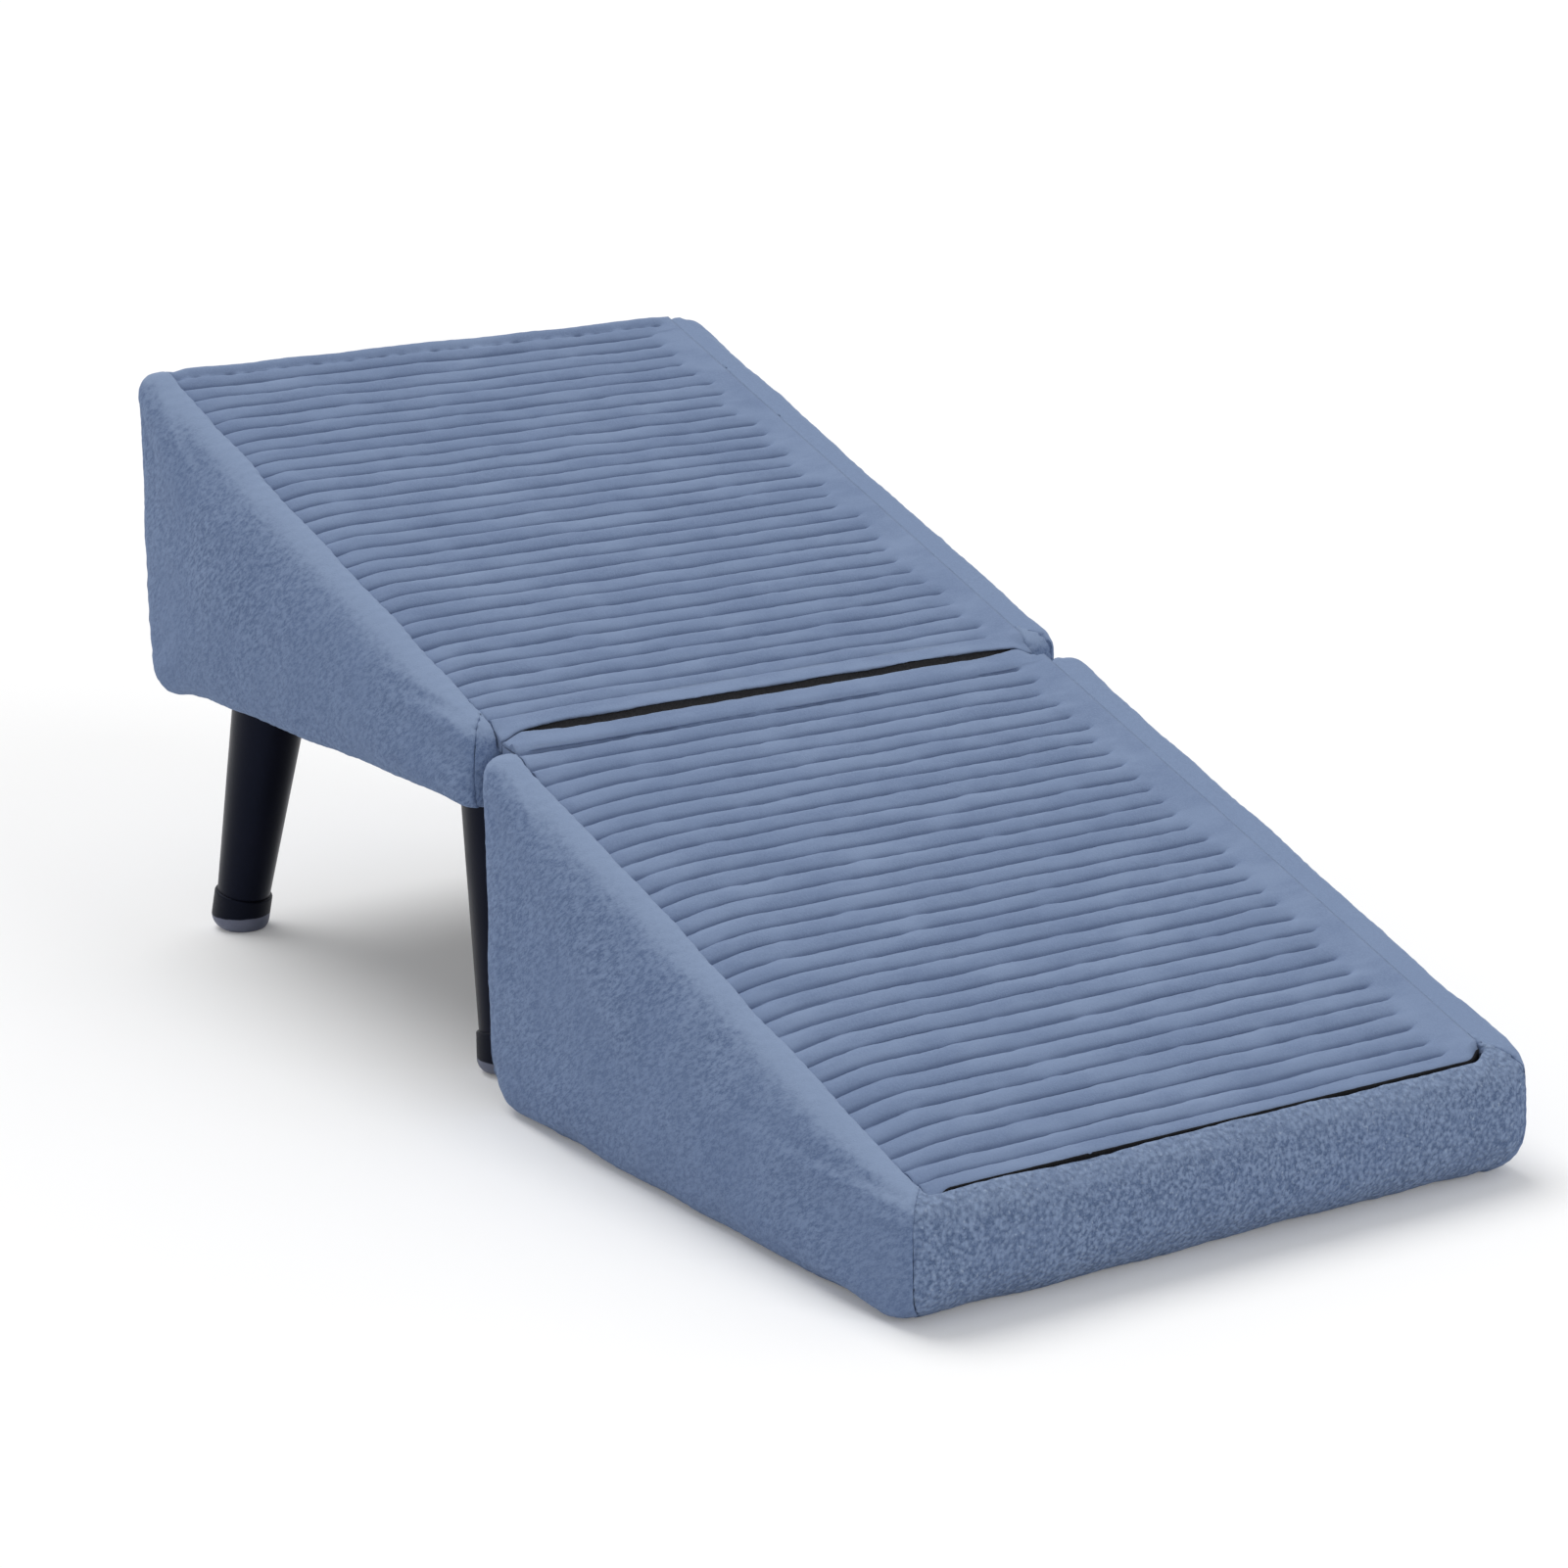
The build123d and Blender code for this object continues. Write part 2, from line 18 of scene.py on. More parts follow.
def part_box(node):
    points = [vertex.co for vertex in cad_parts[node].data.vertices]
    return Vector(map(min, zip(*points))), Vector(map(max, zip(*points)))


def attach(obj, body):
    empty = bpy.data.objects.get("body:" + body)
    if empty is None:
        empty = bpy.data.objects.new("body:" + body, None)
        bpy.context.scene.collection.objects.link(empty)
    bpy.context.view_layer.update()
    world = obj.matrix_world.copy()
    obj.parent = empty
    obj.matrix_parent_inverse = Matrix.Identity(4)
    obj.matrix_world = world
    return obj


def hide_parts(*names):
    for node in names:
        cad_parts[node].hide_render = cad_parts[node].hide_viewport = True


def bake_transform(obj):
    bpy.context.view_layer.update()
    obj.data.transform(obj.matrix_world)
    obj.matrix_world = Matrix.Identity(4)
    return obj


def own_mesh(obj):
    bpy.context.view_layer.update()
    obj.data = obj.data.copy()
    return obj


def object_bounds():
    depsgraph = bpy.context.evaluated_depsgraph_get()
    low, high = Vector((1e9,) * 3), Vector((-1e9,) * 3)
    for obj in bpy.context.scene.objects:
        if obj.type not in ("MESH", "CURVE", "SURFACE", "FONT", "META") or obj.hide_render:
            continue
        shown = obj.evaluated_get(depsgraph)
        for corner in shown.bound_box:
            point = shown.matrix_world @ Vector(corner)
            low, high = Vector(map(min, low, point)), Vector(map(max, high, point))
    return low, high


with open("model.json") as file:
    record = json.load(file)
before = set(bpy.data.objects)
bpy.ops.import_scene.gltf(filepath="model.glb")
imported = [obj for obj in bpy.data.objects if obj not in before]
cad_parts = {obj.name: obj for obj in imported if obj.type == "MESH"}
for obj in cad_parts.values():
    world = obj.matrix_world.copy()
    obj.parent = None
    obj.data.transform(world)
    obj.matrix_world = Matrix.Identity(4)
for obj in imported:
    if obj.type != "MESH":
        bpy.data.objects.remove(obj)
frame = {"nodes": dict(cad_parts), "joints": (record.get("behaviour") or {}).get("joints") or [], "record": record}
cad_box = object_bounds()

MM = 0.001
LOW = "lower_section"
HIGH = "upper_section"

# Camera of the photograph: where it looks from and at, in the part's own frame
CAMERA_AZIMUTH = math.radians(-33.24)
CAMERA_ELEVATION = math.radians(15.26)
CAMERA_ROLL = math.radians(-0.39)
CAMERA_DISTANCE = 2.53
CAMERA_TARGET = Vector((0.0037, -0.001, 0.1545))
CAMERA_LENS = 100.47
SENSOR = 36.0

# Stage
FLOOR_SIZE = 30.0
FLOOR_DROP = 0.5 * MM  # floor below the feet
FLOOR_LIFT = 0.12  # added to the floor for the camera alone, so that it reads as white
SKY = 0.55

# Walking surface
SLOPE = math.radians(19.3)
FOLD_RISE = 0.5 * MM  # fold axis above the plane of the rims
TREAD = 12 * MM  # underside of a tread below the rims, square to the slope
RIB_PITCH = 13.5 * MM  # wanted spacing; the ribs share the length that there is
RIB_HEIGHT = 3.4 * MM
RIB_DEPTH = 1.5 * MM  # crest of a rib below the rims
RIB_FULLNESS = 0.9  # power of the sine that rounds a rib; less is fuller
RIB_UNEVEN = 0.08  # change of height along a rib
RIB_WAVE = 0.19  # length of that change
RIB_TURN = 2.4  # its shift from rib to rib, in radians
RIB_SAMPLES = 12
TREAD_SAMPLES = 150
TREAD_LUMPS = ((0.1, 9), (0.3, 60))  # height and size, in millimetres
HEM_DEPTH = 0.8 * MM
FRONT_HEM = 12 * MM
FOLD_HEM = 15 * MM
BACK_HEM = 19 * MM
HEM_SLOPE = (5 * MM, 3.4 * MM, 2.2 * MM, 1.2 * MM, 0.5 * MM)  # rows of a hem before its channel
TREAD_CLEARANCE = 0.4 * MM  # tread to the left side panel
FLUSH_CLEARANCE = 0.05 * MM  # tread to the right side panel, which it runs on into
FLUSH_DEPTH = 0.02 * MM  # tread below the rims at the right side panel
PLAIN_EDGE = 15 * MM  # plain band beside the right rim, where the channels have died out
CHANNEL_STOP = (-5, 4)  # where a channel has died out, from the edge of that band, in millimetres
CHANNEL_FADE = 9 * MM  # length over which it dies out
GROOVE_WAVER = 0.8 * MM  # how far a sewn channel strays from straight
GROOVE_FADE = 0.3  # how much of its depth a channel loses in places
END_EASE = 20 * MM  # length over which a moved end of a tread fades out
CREASE_OPEN = 2.6 * MM  # the lower tread's front end, further from the lip than in the solid
CREASE_CLOSE = 15 * MM  # from the left rim, where that crease begins to close up
CREASE_SHUT = 3 * MM  # and where it is closed
CREASE_CURL = 7 * MM  # how far it curls up at the right rim
CURL_WIDTH = 18 * MM
SLIT_WIDTH = 45 * MM  # from the rims, where the slit begins to close up
SLIT_SHUT = 6 * MM  # and where it is closed
SLIT_OPEN = 1.2 * MM  # each edge of the slit at the fold, drawn back in the middle
SLIT_CLOSE = 2.2 * MM  # and drawn in at the rims
EDGE_STRAY = 0.4 * MM  # unevenness of those edges
EDGE_EASE = 6 * MM  # length over which that fades out
FOLD_DROP = 4.5 * MM  # corners of a tread below its middle: at the fold, the front and the back
FRONT_DROP = 2.0 * MM
BACK_DROP = 1.6 * MM
DROP_EASE = 24 * MM  # length over which that fades out
CORNER_WIDTH = 14 * MM
ROLL_CREASE = 0.45  # mean depth of the broken crease behind the back roll

# Lengths of the waves that make an edge or a channel uneven
STRAY_WAVES = (0.31, 0.13, 0.06)
FADE_WAVES = (0.09, 0.045, 0.028)
EDGE_WAVES = (0.06, 0.023, 0.009)
ROLL_WAVES = (0.05, 0.021, 0.012)
CREASE_STRIP_WAVES = (0.07, 0.03, 0.011)

# Black strip in the crease behind the lip, a dark piece put in as its painted shade: outline as (distance up the
# slope, depth), in millimetres
CREASE_STRIP_OUTLINE = ((-0.8, 8.5), (-1.0, 5.0), (-0.9, 2.5), (-0.3, 1.9), (0.5, 2.5), (0.5, 8.5))
CREASE_STRIP_LEFT = 8 * MM  # its ends from the rims
CREASE_STRIP_RIGHT = 1 * MM
CREASE_STRIP_STRAY = 0.2 * MM
CREASE_STRIP_SINK = 2.0 * MM  # its left end below the rest
CREASE_STRIP_SAMPLES = 160

# Tape of the fold
TAPE = 1.0 * MM
TAPE_DEPTH = 2.3 * MM
TAPE_REACH = 14 * MM
TAPE_CLEARANCE = 0.1 * MM
TAPE_MARGIN = 10 * MM  # its ends from those of its solid
TAPE_SHORT = 1.0 * MM  # its edges from the bottoms of their slots
TAPE_FREE = 4 * MM  # half its width between the hems, where it hangs
TAPE_SLACK = 0.8 * MM
TAPE_SAMPLES = 90
SLIT_HALF = 3 * MM

# Cloth, dots, staples, screws and zip
CLOTH = 0.8 * MM
CLOTH_INSET = 1.0 * MM  # its edges from those of its solid
CLOTH_LIFT = 0.1 * MM  # lining above the underside of its solid
CLOTH_SAMPLES = 64
CLOTH_PULLS = ((0.18, 45), (0.08, 14))  # height and size, in millimetres
DOT_RADIUS = 2.4 * MM
DOT_HEIGHT = 0.8 * MM
DOT_PITCH = 17 * MM
DOT_MARGIN = 9 * MM
DOT_SIDES = 12
DOT_PROFILE = ((1.0, 1.0), (0.96, 0.55), (0.8, 0.2), (0.5, 0.02))  # shares of the radius and the height
STAPLE_INSET = 7 * MM
STAPLE_PITCH = 40 * MM
STAPLE_LENGTH = 11 * MM
STAPLE_RADIUS = 0.45 * MM
STAPLE_LEG = 1.4 * MM
STAPLE_BEND = 0.5 * MM  # length and height of the bend at each end
STAPLE_RISE = 0.35 * MM
STAPLE_TILT = 0.15  # most that a staple is turned off its edge, in radians
WIRE_SIDES = 8
RECESS_ARM = 2.1 * MM
RECESS_HALF = 0.42 * MM  # half the width of an arm
RECESS_TURN = 0.6
RECESS_LEVELS = (-0.04 * MM, 0.3 * MM)  # its two faces, from the underside of the heads
HEAD_LEVEL = 0.01 * MM  # points this near the underside of the heads are on it
HEAD_WIDTH = 12 * MM  # points of the heads nearer than this are on the same screw
ZIP_SAMPLES = 120
ZIP_TAPE = 0.9 * MM
ZIP_RIDGE = 1.0 * MM  # thickness of its tape along the middle
COIL_PITCH = 1.7 * MM
COIL_RADIUS = 0.42 * MM
COIL_HALF = 1.25 * MM  # half the length of a turn of coil
COIL_OUT = 1.45 * MM  # coils from the back of the tape
COIL_ASIDE = 0.9 * MM  # each row of coils from the middle
COIL_MARGIN = 3 * MM
COIL_PROFILE = ((-1.0, 0.35), (-0.92, 0.8), (-0.7, 1.0), (0.7, 1.0), (0.92, 0.8), (1.0, 0.35))

# Padding of the fleece panels
PAD_DEPTH = 7  # halvings of a panel's length that give the mesh width of its skin
PAD_WELD = 0.02 * MM
PAD_ROUNDING = 8  # rounds of smoothing that soften the free edges of a pad
PAD_LUMPS = ((0.55, 55), (0.13, 17), (0.12, 6))  # height and size, in millimetres
SEAM_LIFT = 0.8  # share of the padding's rise that the seams beside it take part in
HELD_WITHIN = 1.4 * MM  # a point this near another piece stays where it is
FURTHEST = 99.5  # percentile of the moves that counts as the furthest one
SWELL_FRAMES = 20
FOLD_CLEAR = 0.8 * MM  # pads from the middle of the slit
FOLD_DEPTH = 40 * MM  # depth over which the closing of the slit fades out
FOLD_BELOW = 20 * MM  # pads keep to their side of the slit this far below the raised wedge
DROOP = 7 * MM  # the raised wedge's panels hang lower than its board at the back
DROOP_HEIGHT = 70 * MM  # height over which that fades out
CORNER_DROOP = 6 * MM  # and lower still at the back corners
CORNER_RISE = 3 * MM  # the raised wedge's left rim rises to the roll at its back corner
BACK_CORNER = (348 * MM, 408 * MM)  # where those two set in, along the ramp
RISE_TOP = (-60 * MM, -15 * MM)  # where the rise sets in, up to the top of the panel
RISE_SIDE = (165 * MM, 182 * MM)  # and out to the left
CURL_OUT = (2 * MM, 16 * MM)  # where the curl of the crease dies out in the rim,
CURL_ALONG = (3 * MM, 22 * MM)  # and along the ramp
CURL_DEPTH = (14 * MM, 3 * MM)  # where it sets in, up from below the rims
RIM_FILL = 8 * MM  # width of a right rim that runs on flat from its tread
RIM_UPWARD = 0.25  # least upward part of the normals there
FILL_FRONT = (10 * MM, 26 * MM)  # where that sets in, from the lower tread's front end,
FILL_BACK = (0, 5 * MM)  # from the upper tread's back end
FILL_FOLD = (8 * MM, 24 * MM)  # and from the fold
RIM_PROUD = 0.4 * MM  # most that a right rim stands above the plane of the rims
PROUD_EASE = (0, 12 * MM)
RIM_SPREAD = 3.5 * MM  # a right rim is this much wider than its solid
SPREAD_EASE = (3 * MM, 16 * MM)
RIM_GAP = 0.3 * MM  # a right rim from its tread, at the ends where it is rounded
RIM_BESIDE = 1.5 * MM  # points this near the tread are on the face beside it
RIM_SHARP = math.radians(55)
ZIP_SINK = 0.3 * MM  # skin behind the zip's tape
ZIP_LEDGE = 0.8 * MM  # width of that round the tape
ZIP_BANK = 2.4 * MM  # height of the bank round it
ZIP_STEEP = 1.4  # slope of the bank, and of the skin beyond it
ZIP_SLANT = 0.5
ZIP_WIDTH = 9 * MM  # from the tape to where that skin begins
ZIP_REACH = 5 * MM  # depth of the skin that is pressed
ZIP_OUTWARD = 0.2  # least outward part of its normals
FOAM_DEPTH = 6  # as PAD_DEPTH, for the foam cores
FOAM_CLEARANCE = 0.9 * MM
FOAM_LUMPS = ((0.3, 30),)

fold_joint = next(joint for joint in frame["joints"] if joint["name"] == "fold")
FOLD_Z = fold_joint["pos_m"][2]


def rim_z(y, depth=0.0):
    """Height at y of the plane that lies depth below the rims, square to the slope."""
    return FOLD_Z - FOLD_RISE + y * math.tan(SLOPE) - depth / math.cos(SLOPE)


# Mesh helpers


def link(name, data):
    """Puts a mesh, a camera or a lamp in the scene."""
    thing = bpy.data.objects.new(name, data)
    bpy.context.scene.collection.objects.link(thing)
    return thing


def point_out(mesh, weld=None):
    """Turns the faces of closed shells outwards, after joining points that are nearer than weld."""
    work = bmesh.new()
    work.from_mesh(mesh)
    if weld:
        bmesh.ops.remove_doubles(work, verts=work.verts, dist=weld)
    bmesh.ops.recalc_face_normals(work, faces=work.faces)
    work.to_mesh(mesh)
    work.free()


def mesh_piece(name, points, faces, smooth=True, closed=True):
    """A piece from points and faces."""
    mesh = bpy.data.meshes.new(name)
    mesh.from_pydata([tuple(point) for point in points], [], [tuple(face) for face in faces])
    mesh.validate()
    if smooth:
        mesh.shade_smooth()
    else:
        mesh.shade_flat()
    if closed:
        point_out(mesh)
    return link(name, mesh)


def stack(x, y, z):
    """Points from their coordinates, each given once for all of them or for every one."""
    return np.column_stack(np.broadcast_arrays(x, y, z))


def ring_faces(count, around, start):
    """Faces of a closed solid whose points are rings of equal length, one after another."""
    faces = []
    last = start + (count - 1) * around
    for ring in range(start, last, around):
        for side in range(around):
            here, after = ring + side, ring + (side + 1) % around
            faces.append((here, after, after + around, here + around))
    faces.append(list(reversed(range(start, start + around))))
    faces.append(list(range(last, last + around)))
    return faces


def solids(name, shapes, smooth=True):
    """One piece of closed solids that each consist of rings of points."""
    shapes = np.asarray(shapes)
    many, count, around = shapes.shape[:3]
    starts = range(0, many * count * around, count * around)
    faces = [face for start in starts for face in ring_faces(count, around, start)]
    return mesh_piece(name, shapes.reshape(-1, 3), faces, smooth)


def loft(name, rows):
    """Closed solid with flat ends from rows of points that run along it."""
    piece = solids(name, [np.stack(rows, axis=1)])
    for end in (-1, -2):
        piece.data.polygons[end].use_smooth = False
    return piece


def circle(sides):
    """Coordinates of points round a unit circle."""
    turn = 2 * math.pi * np.arange(sides) / sides
    return np.cos(turn), np.sin(turn)


def apply_modifiers(piece):
    """Replaces a piece's mesh by what its modifiers make of it."""
    graph = bpy.context.evaluated_depsgraph_get()
    mesh = bpy.data.meshes.new_from_object(piece.evaluated_get(graph))
    piece.modifiers.clear()
    piece.data = mesh
    mesh.name = piece.name


def points_of(mesh, kind="co"):
    """Positions of the vertices, or another value of theirs, as an array."""
    values = np.empty(3 * len(mesh.vertices))
    mesh.vertices.foreach_get(kind, values)
    return values.reshape(-1, 3)


def normals_of(mesh):
    """Vertex normals as an array."""
    return points_of(mesh, "normal")


def set_points(mesh, points):
    """Moves the vertices of a mesh."""
    mesh.vertices.foreach_set("co", np.asarray(points, float).ravel())
    mesh.update()


def smooth_noise(points, size, seed):
    """Soft lumps of about the given size, between -1 and 1, from waves in seeded directions."""
    random = np.random.RandomState(seed)
    total = np.zeros(len(points))
    count = 14
    for _ in range(count):
        direction = random.normal(size=3)
        direction /= np.linalg.norm(direction)
        length = size * random.uniform(0.7, 1.5)
        phase = random.uniform(0, 2 * math.pi)
        total += np.sin(points @ direction * (2 * math.pi / length) + phase)
    return total / math.sqrt(count)


def lumps(points, layers, seed):
    """Heights of soft lumps in layers of (height, size), both in millimetres."""
    total = np.zeros(len(points))
    for index, (height, size) in enumerate(layers):
        total += height * MM * smooth_noise(points, size * MM, seed + index)
    return total


def smooth_step(value, low, high):
    """0 below low, 1 above high and a smooth rise between them."""
    share = np.clip((value - low) / (high - low), 0, 1)
    return share * share * (3 - 2 * share)


# Materials


def rgb(red, green, blue):
    """Linear colour of an sRGB one given in 0 to 255."""

    def linear(level):
        share = level / 255
        return share / 12.92 if share <= 0.04045 else ((share + 0.055) / 1.055) ** 2.4

    return (linear(red), linear(green), linear(blue), 1.0)


class Nodes:
    """A node tree with short calls for adding to it."""

    def __init__(self, tree):
        self.tree = tree

    def node(self, kind, inputs=None, **settings):
        """A node with its settings, and its inputs linked or set."""
        node = self.tree.nodes.new(kind)
        for name, value in settings.items():
            setattr(node, name, value)
        for name, value in (inputs or {}).items():
            self.feed(node.inputs[name], value)
        return node

    def feed(self, socket, value):
        """Links an output to a socket, or sets the socket's value."""
        if isinstance(value, bpy.types.NodeSocket):
            self.tree.links.new(value, socket)
        else:
            socket.default_value = value

    def math(self, operation, *values):
        """Arithmetic on values."""
        return self.node("ShaderNodeMath", dict(enumerate(values)), operation=operation).outputs[0]


class Shader(Nodes):
    """A Principled material."""

    def __init__(self, name, **values):
        self.material = bpy.data.materials.new(name)
        self.material.use_nodes = True
        super().__init__(self.material.node_tree)
        self.principled = self.tree.nodes["Principled BSDF"]
        for socket, value in values.items():
            self.principled.inputs[socket.replace("_", " ")].default_value = value

    def coordinates(self, stretch=(1, 1, 1), turn=(0, 0, 0)):
        """Positions on the piece in metres, turned and then stretched."""
        place = self.node("ShaderNodeTexCoord").outputs["Object"]
        turned = self.node("ShaderNodeMapping", {"Vector": place, "Rotation": turn}).outputs["Vector"]
        return self.node("ShaderNodeMapping", {"Vector": turned, "Scale": stretch}).outputs["Vector"]

    def parts(self, vector):
        """The X, Y and Z of a vector."""
        return self.node("ShaderNodeSeparateXYZ", {"Vector": vector}).outputs

    def noise(self, vector, scale, detail=2.0, roughness=0.5, distortion=0.0):
        """Noise between 0 and 1."""
        inputs = {"Vector": vector, "Scale": scale, "Detail": detail}
        inputs.update({"Roughness": roughness, "Distortion": distortion})
        return self.node("ShaderNodeTexNoise", inputs).outputs["Fac"]

    def cells(self, vector, scale):
        """Distance to the nearest of scattered points."""
        inputs = {"Vector": vector, "Scale": scale, "Randomness": 1.0}
        return self.node("ShaderNodeTexVoronoi", inputs, feature="SMOOTH_F1").outputs["Distance"]

    def band(self, value, low, high, to_low=0.0, to_high=1.0):
        """Maps low..high smoothly to another range, clamped."""
        inputs = {"Value": value, "From Min": low, "From Max": high, "To Min": to_low, "To Max": to_high}
        return self.node("ShaderNodeMapRange", inputs, interpolation_type="SMOOTHSTEP").outputs["Result"]

    def mix(self, factor, first, second):
        """Mixes two colours."""
        node = self.node("ShaderNodeMix", data_type="RGBA")
        for socket, value in ((0, factor), (6, first), (7, second)):
            self.feed(node.inputs[socket], value)
        return node.outputs[2]

    def tint(self, colour, to, value, low, high, least, most):
        """Mixes another colour in, by least where a value is low and by most where it is high."""
        return self.mix(self.band(value, low, high, least, most), colour, to)

    def bump(self, height, distance, strength):
        """Normal of a surface with this height, in the given distance."""
        inputs = {"Height": height, "Distance": distance, "Strength": strength}
        return self.node("ShaderNodeBump", inputs).outputs["Normal"]

    def finish(self, colour, roughness=None, normal=None):
        """Links what was made to the shader."""
        for name, value in (("Base Color", colour), ("Roughness", roughness), ("Normal", normal)):
            if value is not None:
                self.feed(self.principled.inputs[name], value)
        return self.material


PILE = {"Sheen_Tint": rgb(175, 190, 215), "Specular_IOR_Level": 0.15}
BLACK_GLOSS = {"Specular_Tint": rgb(150, 168, 220), "Specular_IOR_Level": 0.2}


def fleece_material(name, contrast, rim_nap, painted_top_light, nubs, dark, light):
    """Short-pile blue fleece: nap in slanted strokes, smoother where it turns up over a rim, paler there by
    painted light.
    """
    shader = Shader(name, Sheen_Weight=0.25, Sheen_Roughness=0.5, **PILE)
    place = shader.coordinates()
    strokes = shader.coordinates(stretch=(1.0, 0.33, 1.0), turn=(math.radians(34), 0, 0))
    clumps = shader.noise(strokes, 480, detail=3.0, roughness=0.65)
    fibres = shader.noise(strokes, 1500, roughness=0.6)
    drifts = shader.noise(place, 22, detail=3.0)
    patches = shader.noise(place, 9)
    upward = shader.parts(shader.node("ShaderNodeTexCoord").outputs["Normal"])["Z"]
    ragged = shader.math("ADD", upward, shader.band(clumps, 0.3, 0.7, -0.12, 0.12))
    rim = shader.band(ragged, -0.1, 0.95)
    smoothed = shader.band(rim, 0, 1, 1.0, rim_nap)
    rough = shader.math("MULTIPLY", shader.band(patches, 0.35, 0.65, 0.55, 1.0), smoothed)
    nap = shader.math("MULTIPLY", shader.band(clumps, 0.34, 0.68, -contrast, contrast), rough)
    # painted light: the tops of the nubs are made paler as well as raised
    raised = shader.band(shader.cells(place, 390), 0.15, 0.7, nubs, -nubs)
    shade = shader.math("ADD", shader.math("ADD", nap, raised), 0.5)
    colour = shader.mix(shade, dark, light)
    colour = shader.tint(colour, rgb(134, 154, 188), fibres, 0.4, 0.75, 0.0, 0.4)
    colour = shader.tint(colour, rgb(96, 116, 153), drifts, 0.3, 0.7, 0.0, 0.25)
    # painted light: faces that point upwards, such as the tops of the rims, are made paler
    colour = shader.tint(colour, rgb(139, 156, 184), rim, 0, 1, 0.0, painted_top_light)
    flecks = shader.noise(place, 430, detail=1.0)
    colour = shader.tint(colour, rgb(172, 186, 208), flecks, 0.67, 0.75, 0.0, nubs)
    colour = shader.tint(colour, rgb(56, 70, 98), flecks, 0.25, 0.34, nubs, 0.0)
    height = shader.math("ADD", shader.math("MULTIPLY", clumps, rough), shader.math("MULTIPLY", fibres, 0.3))
    height = shader.math("ADD", height, shader.math("MULTIPLY", raised, 1.6))
    return shader.finish(colour, shader.band(clumps, 0.3, 0.7, 0.85, 1.0), shader.bump(height, 1.5 * MM, 0.6))


def ribbed_plush_material():
    """Smooth short plush of the treads with brushed nap, and painted shade down in the sewn channels."""
    shader = Shader("ribbed_plush", Sheen_Weight=0.2, Sheen_Roughness=0.45, **PILE)
    place = shader.coordinates()
    nap = shader.noise(place, 900, roughness=0.6)
    streaks = shader.noise(shader.coordinates(stretch=(0.35, 1.0, 1.0)), 60, detail=3.0, roughness=0.55)
    drifts = shader.noise(place, 14)
    depth = shader.node("ShaderNodeAttribute", attribute_name="channel").outputs["Fac"]
    colour = shader.mix(shader.band(streaks, 0.3, 0.7), rgb(112, 129, 160), rgb(127, 144, 174))
    colour = shader.tint(colour, rgb(134, 152, 182), nap, 0.35, 0.7, 0.0, 0.35)
    colour = shader.tint(colour, rgb(110, 128, 160), drifts, 0.35, 0.7, 0.0, 0.3)
    # painted shade in the sewn channels and the back crease, from the channel attribute
    colour = shader.tint(colour, rgb(66, 81, 113), depth, 0.3, 1.0, 0.0, 0.6)
    return shader.finish(colour, shader.band(streaks, 0.3, 0.7, 0.85, 1.0), shader.bump(nap, 0.6 * MM, 0.4))


def leg_paint_material():
    """Satin black paint with a faint orange peel."""
    shader = Shader("black_leg_paint", **BLACK_GLOSS)
    place = shader.coordinates()
    peel = shader.noise(place, 420, detail=1.0)
    cloud = shader.noise(place, 30, detail=3.0)
    colour = shader.mix(cloud, rgb(9, 9, 15), rgb(16, 16, 25))
    return shader.finish(colour, shader.band(cloud, 0.3, 0.7, 0.3, 0.38), shader.bump(peel, 0.1 * MM, 0.4))


def cap_material():
    """Black moulded cap, pale grey at its bottom."""
    shader = Shader("foot_cap_plastic", **BLACK_GLOSS)
    place = shader.coordinates()
    grain = shader.noise(place, 1500)
    smear = shader.noise(place, 160, detail=3.0)
    height = shader.math("ADD", shader.parts(place)["Z"], shader.band(smear, 0.3, 0.7, -0.2 * MM, 0.2 * MM))
    pale_bottom = shader.mix(smear, rgb(104, 108, 125), rgb(122, 126, 143))
    # paler grey below about 9 mm up the cap
    colour = shader.tint(rgb(10, 10, 16), pale_bottom, height, 8.6 * MM, 9.6 * MM, 1.0, 0.0)
    return shader.finish(colour, shader.band(grain, 0.3, 0.7, 0.4, 0.55), shader.bump(grain, 0.1 * MM, 0.4))


def steel_material():
    """Zinc-plated steel with brushed, slightly cloudy plating."""
    shader = Shader("plated_steel", Metallic=1.0)
    brushed = shader.noise(shader.coordinates(stretch=(1, 14, 1)), 180)
    cloud = shader.noise(shader.coordinates(), 90, detail=3.0)
    colour = shader.mix(cloud, rgb(150, 152, 156), rgb(196, 197, 198))
    roughness = shader.band(cloud, 0.3, 0.7, 0.28, 0.45)
    return shader.finish(colour, roughness, shader.bump(brushed, 0.08 * MM, 0.4))


def cloudy_material(name, scale, detail, dark, light, roughness, lift=None, **values):
    """Plain finish with one fine cloud in its tone, its gloss and, where it has a lift, its surface."""
    shader = Shader(name, **values)
    cloud = shader.noise(shader.coordinates(), scale, detail)
    normal = shader.bump(cloud, lift, 0.4) if lift else None
    return shader.finish(shader.mix(cloud, dark, light), shader.band(cloud, 0.3, 0.7, *roughness), normal)


def plywood_material():
    """Pale plywood with grain along the ramp."""
    shader = Shader("plywood")
    grain = shader.noise(shader.coordinates(stretch=(1, 0.06, 1)), 190, detail=4.0, distortion=0.6)
    pores = shader.noise(shader.coordinates(stretch=(1, 0.12, 1)), 900)
    colour = shader.mix(shader.band(grain, 0.35, 0.65), rgb(196, 160, 112), rgb(222, 192, 146))
    colour = shader.tint(colour, rgb(150, 112, 70), pores, 0.6, 0.75, 0.0, 0.5)
    return shader.finish(colour, shader.band(grain, 0.3, 0.7, 0.55, 0.75), shader.bump(pores, 0.15 * MM, 0.5))


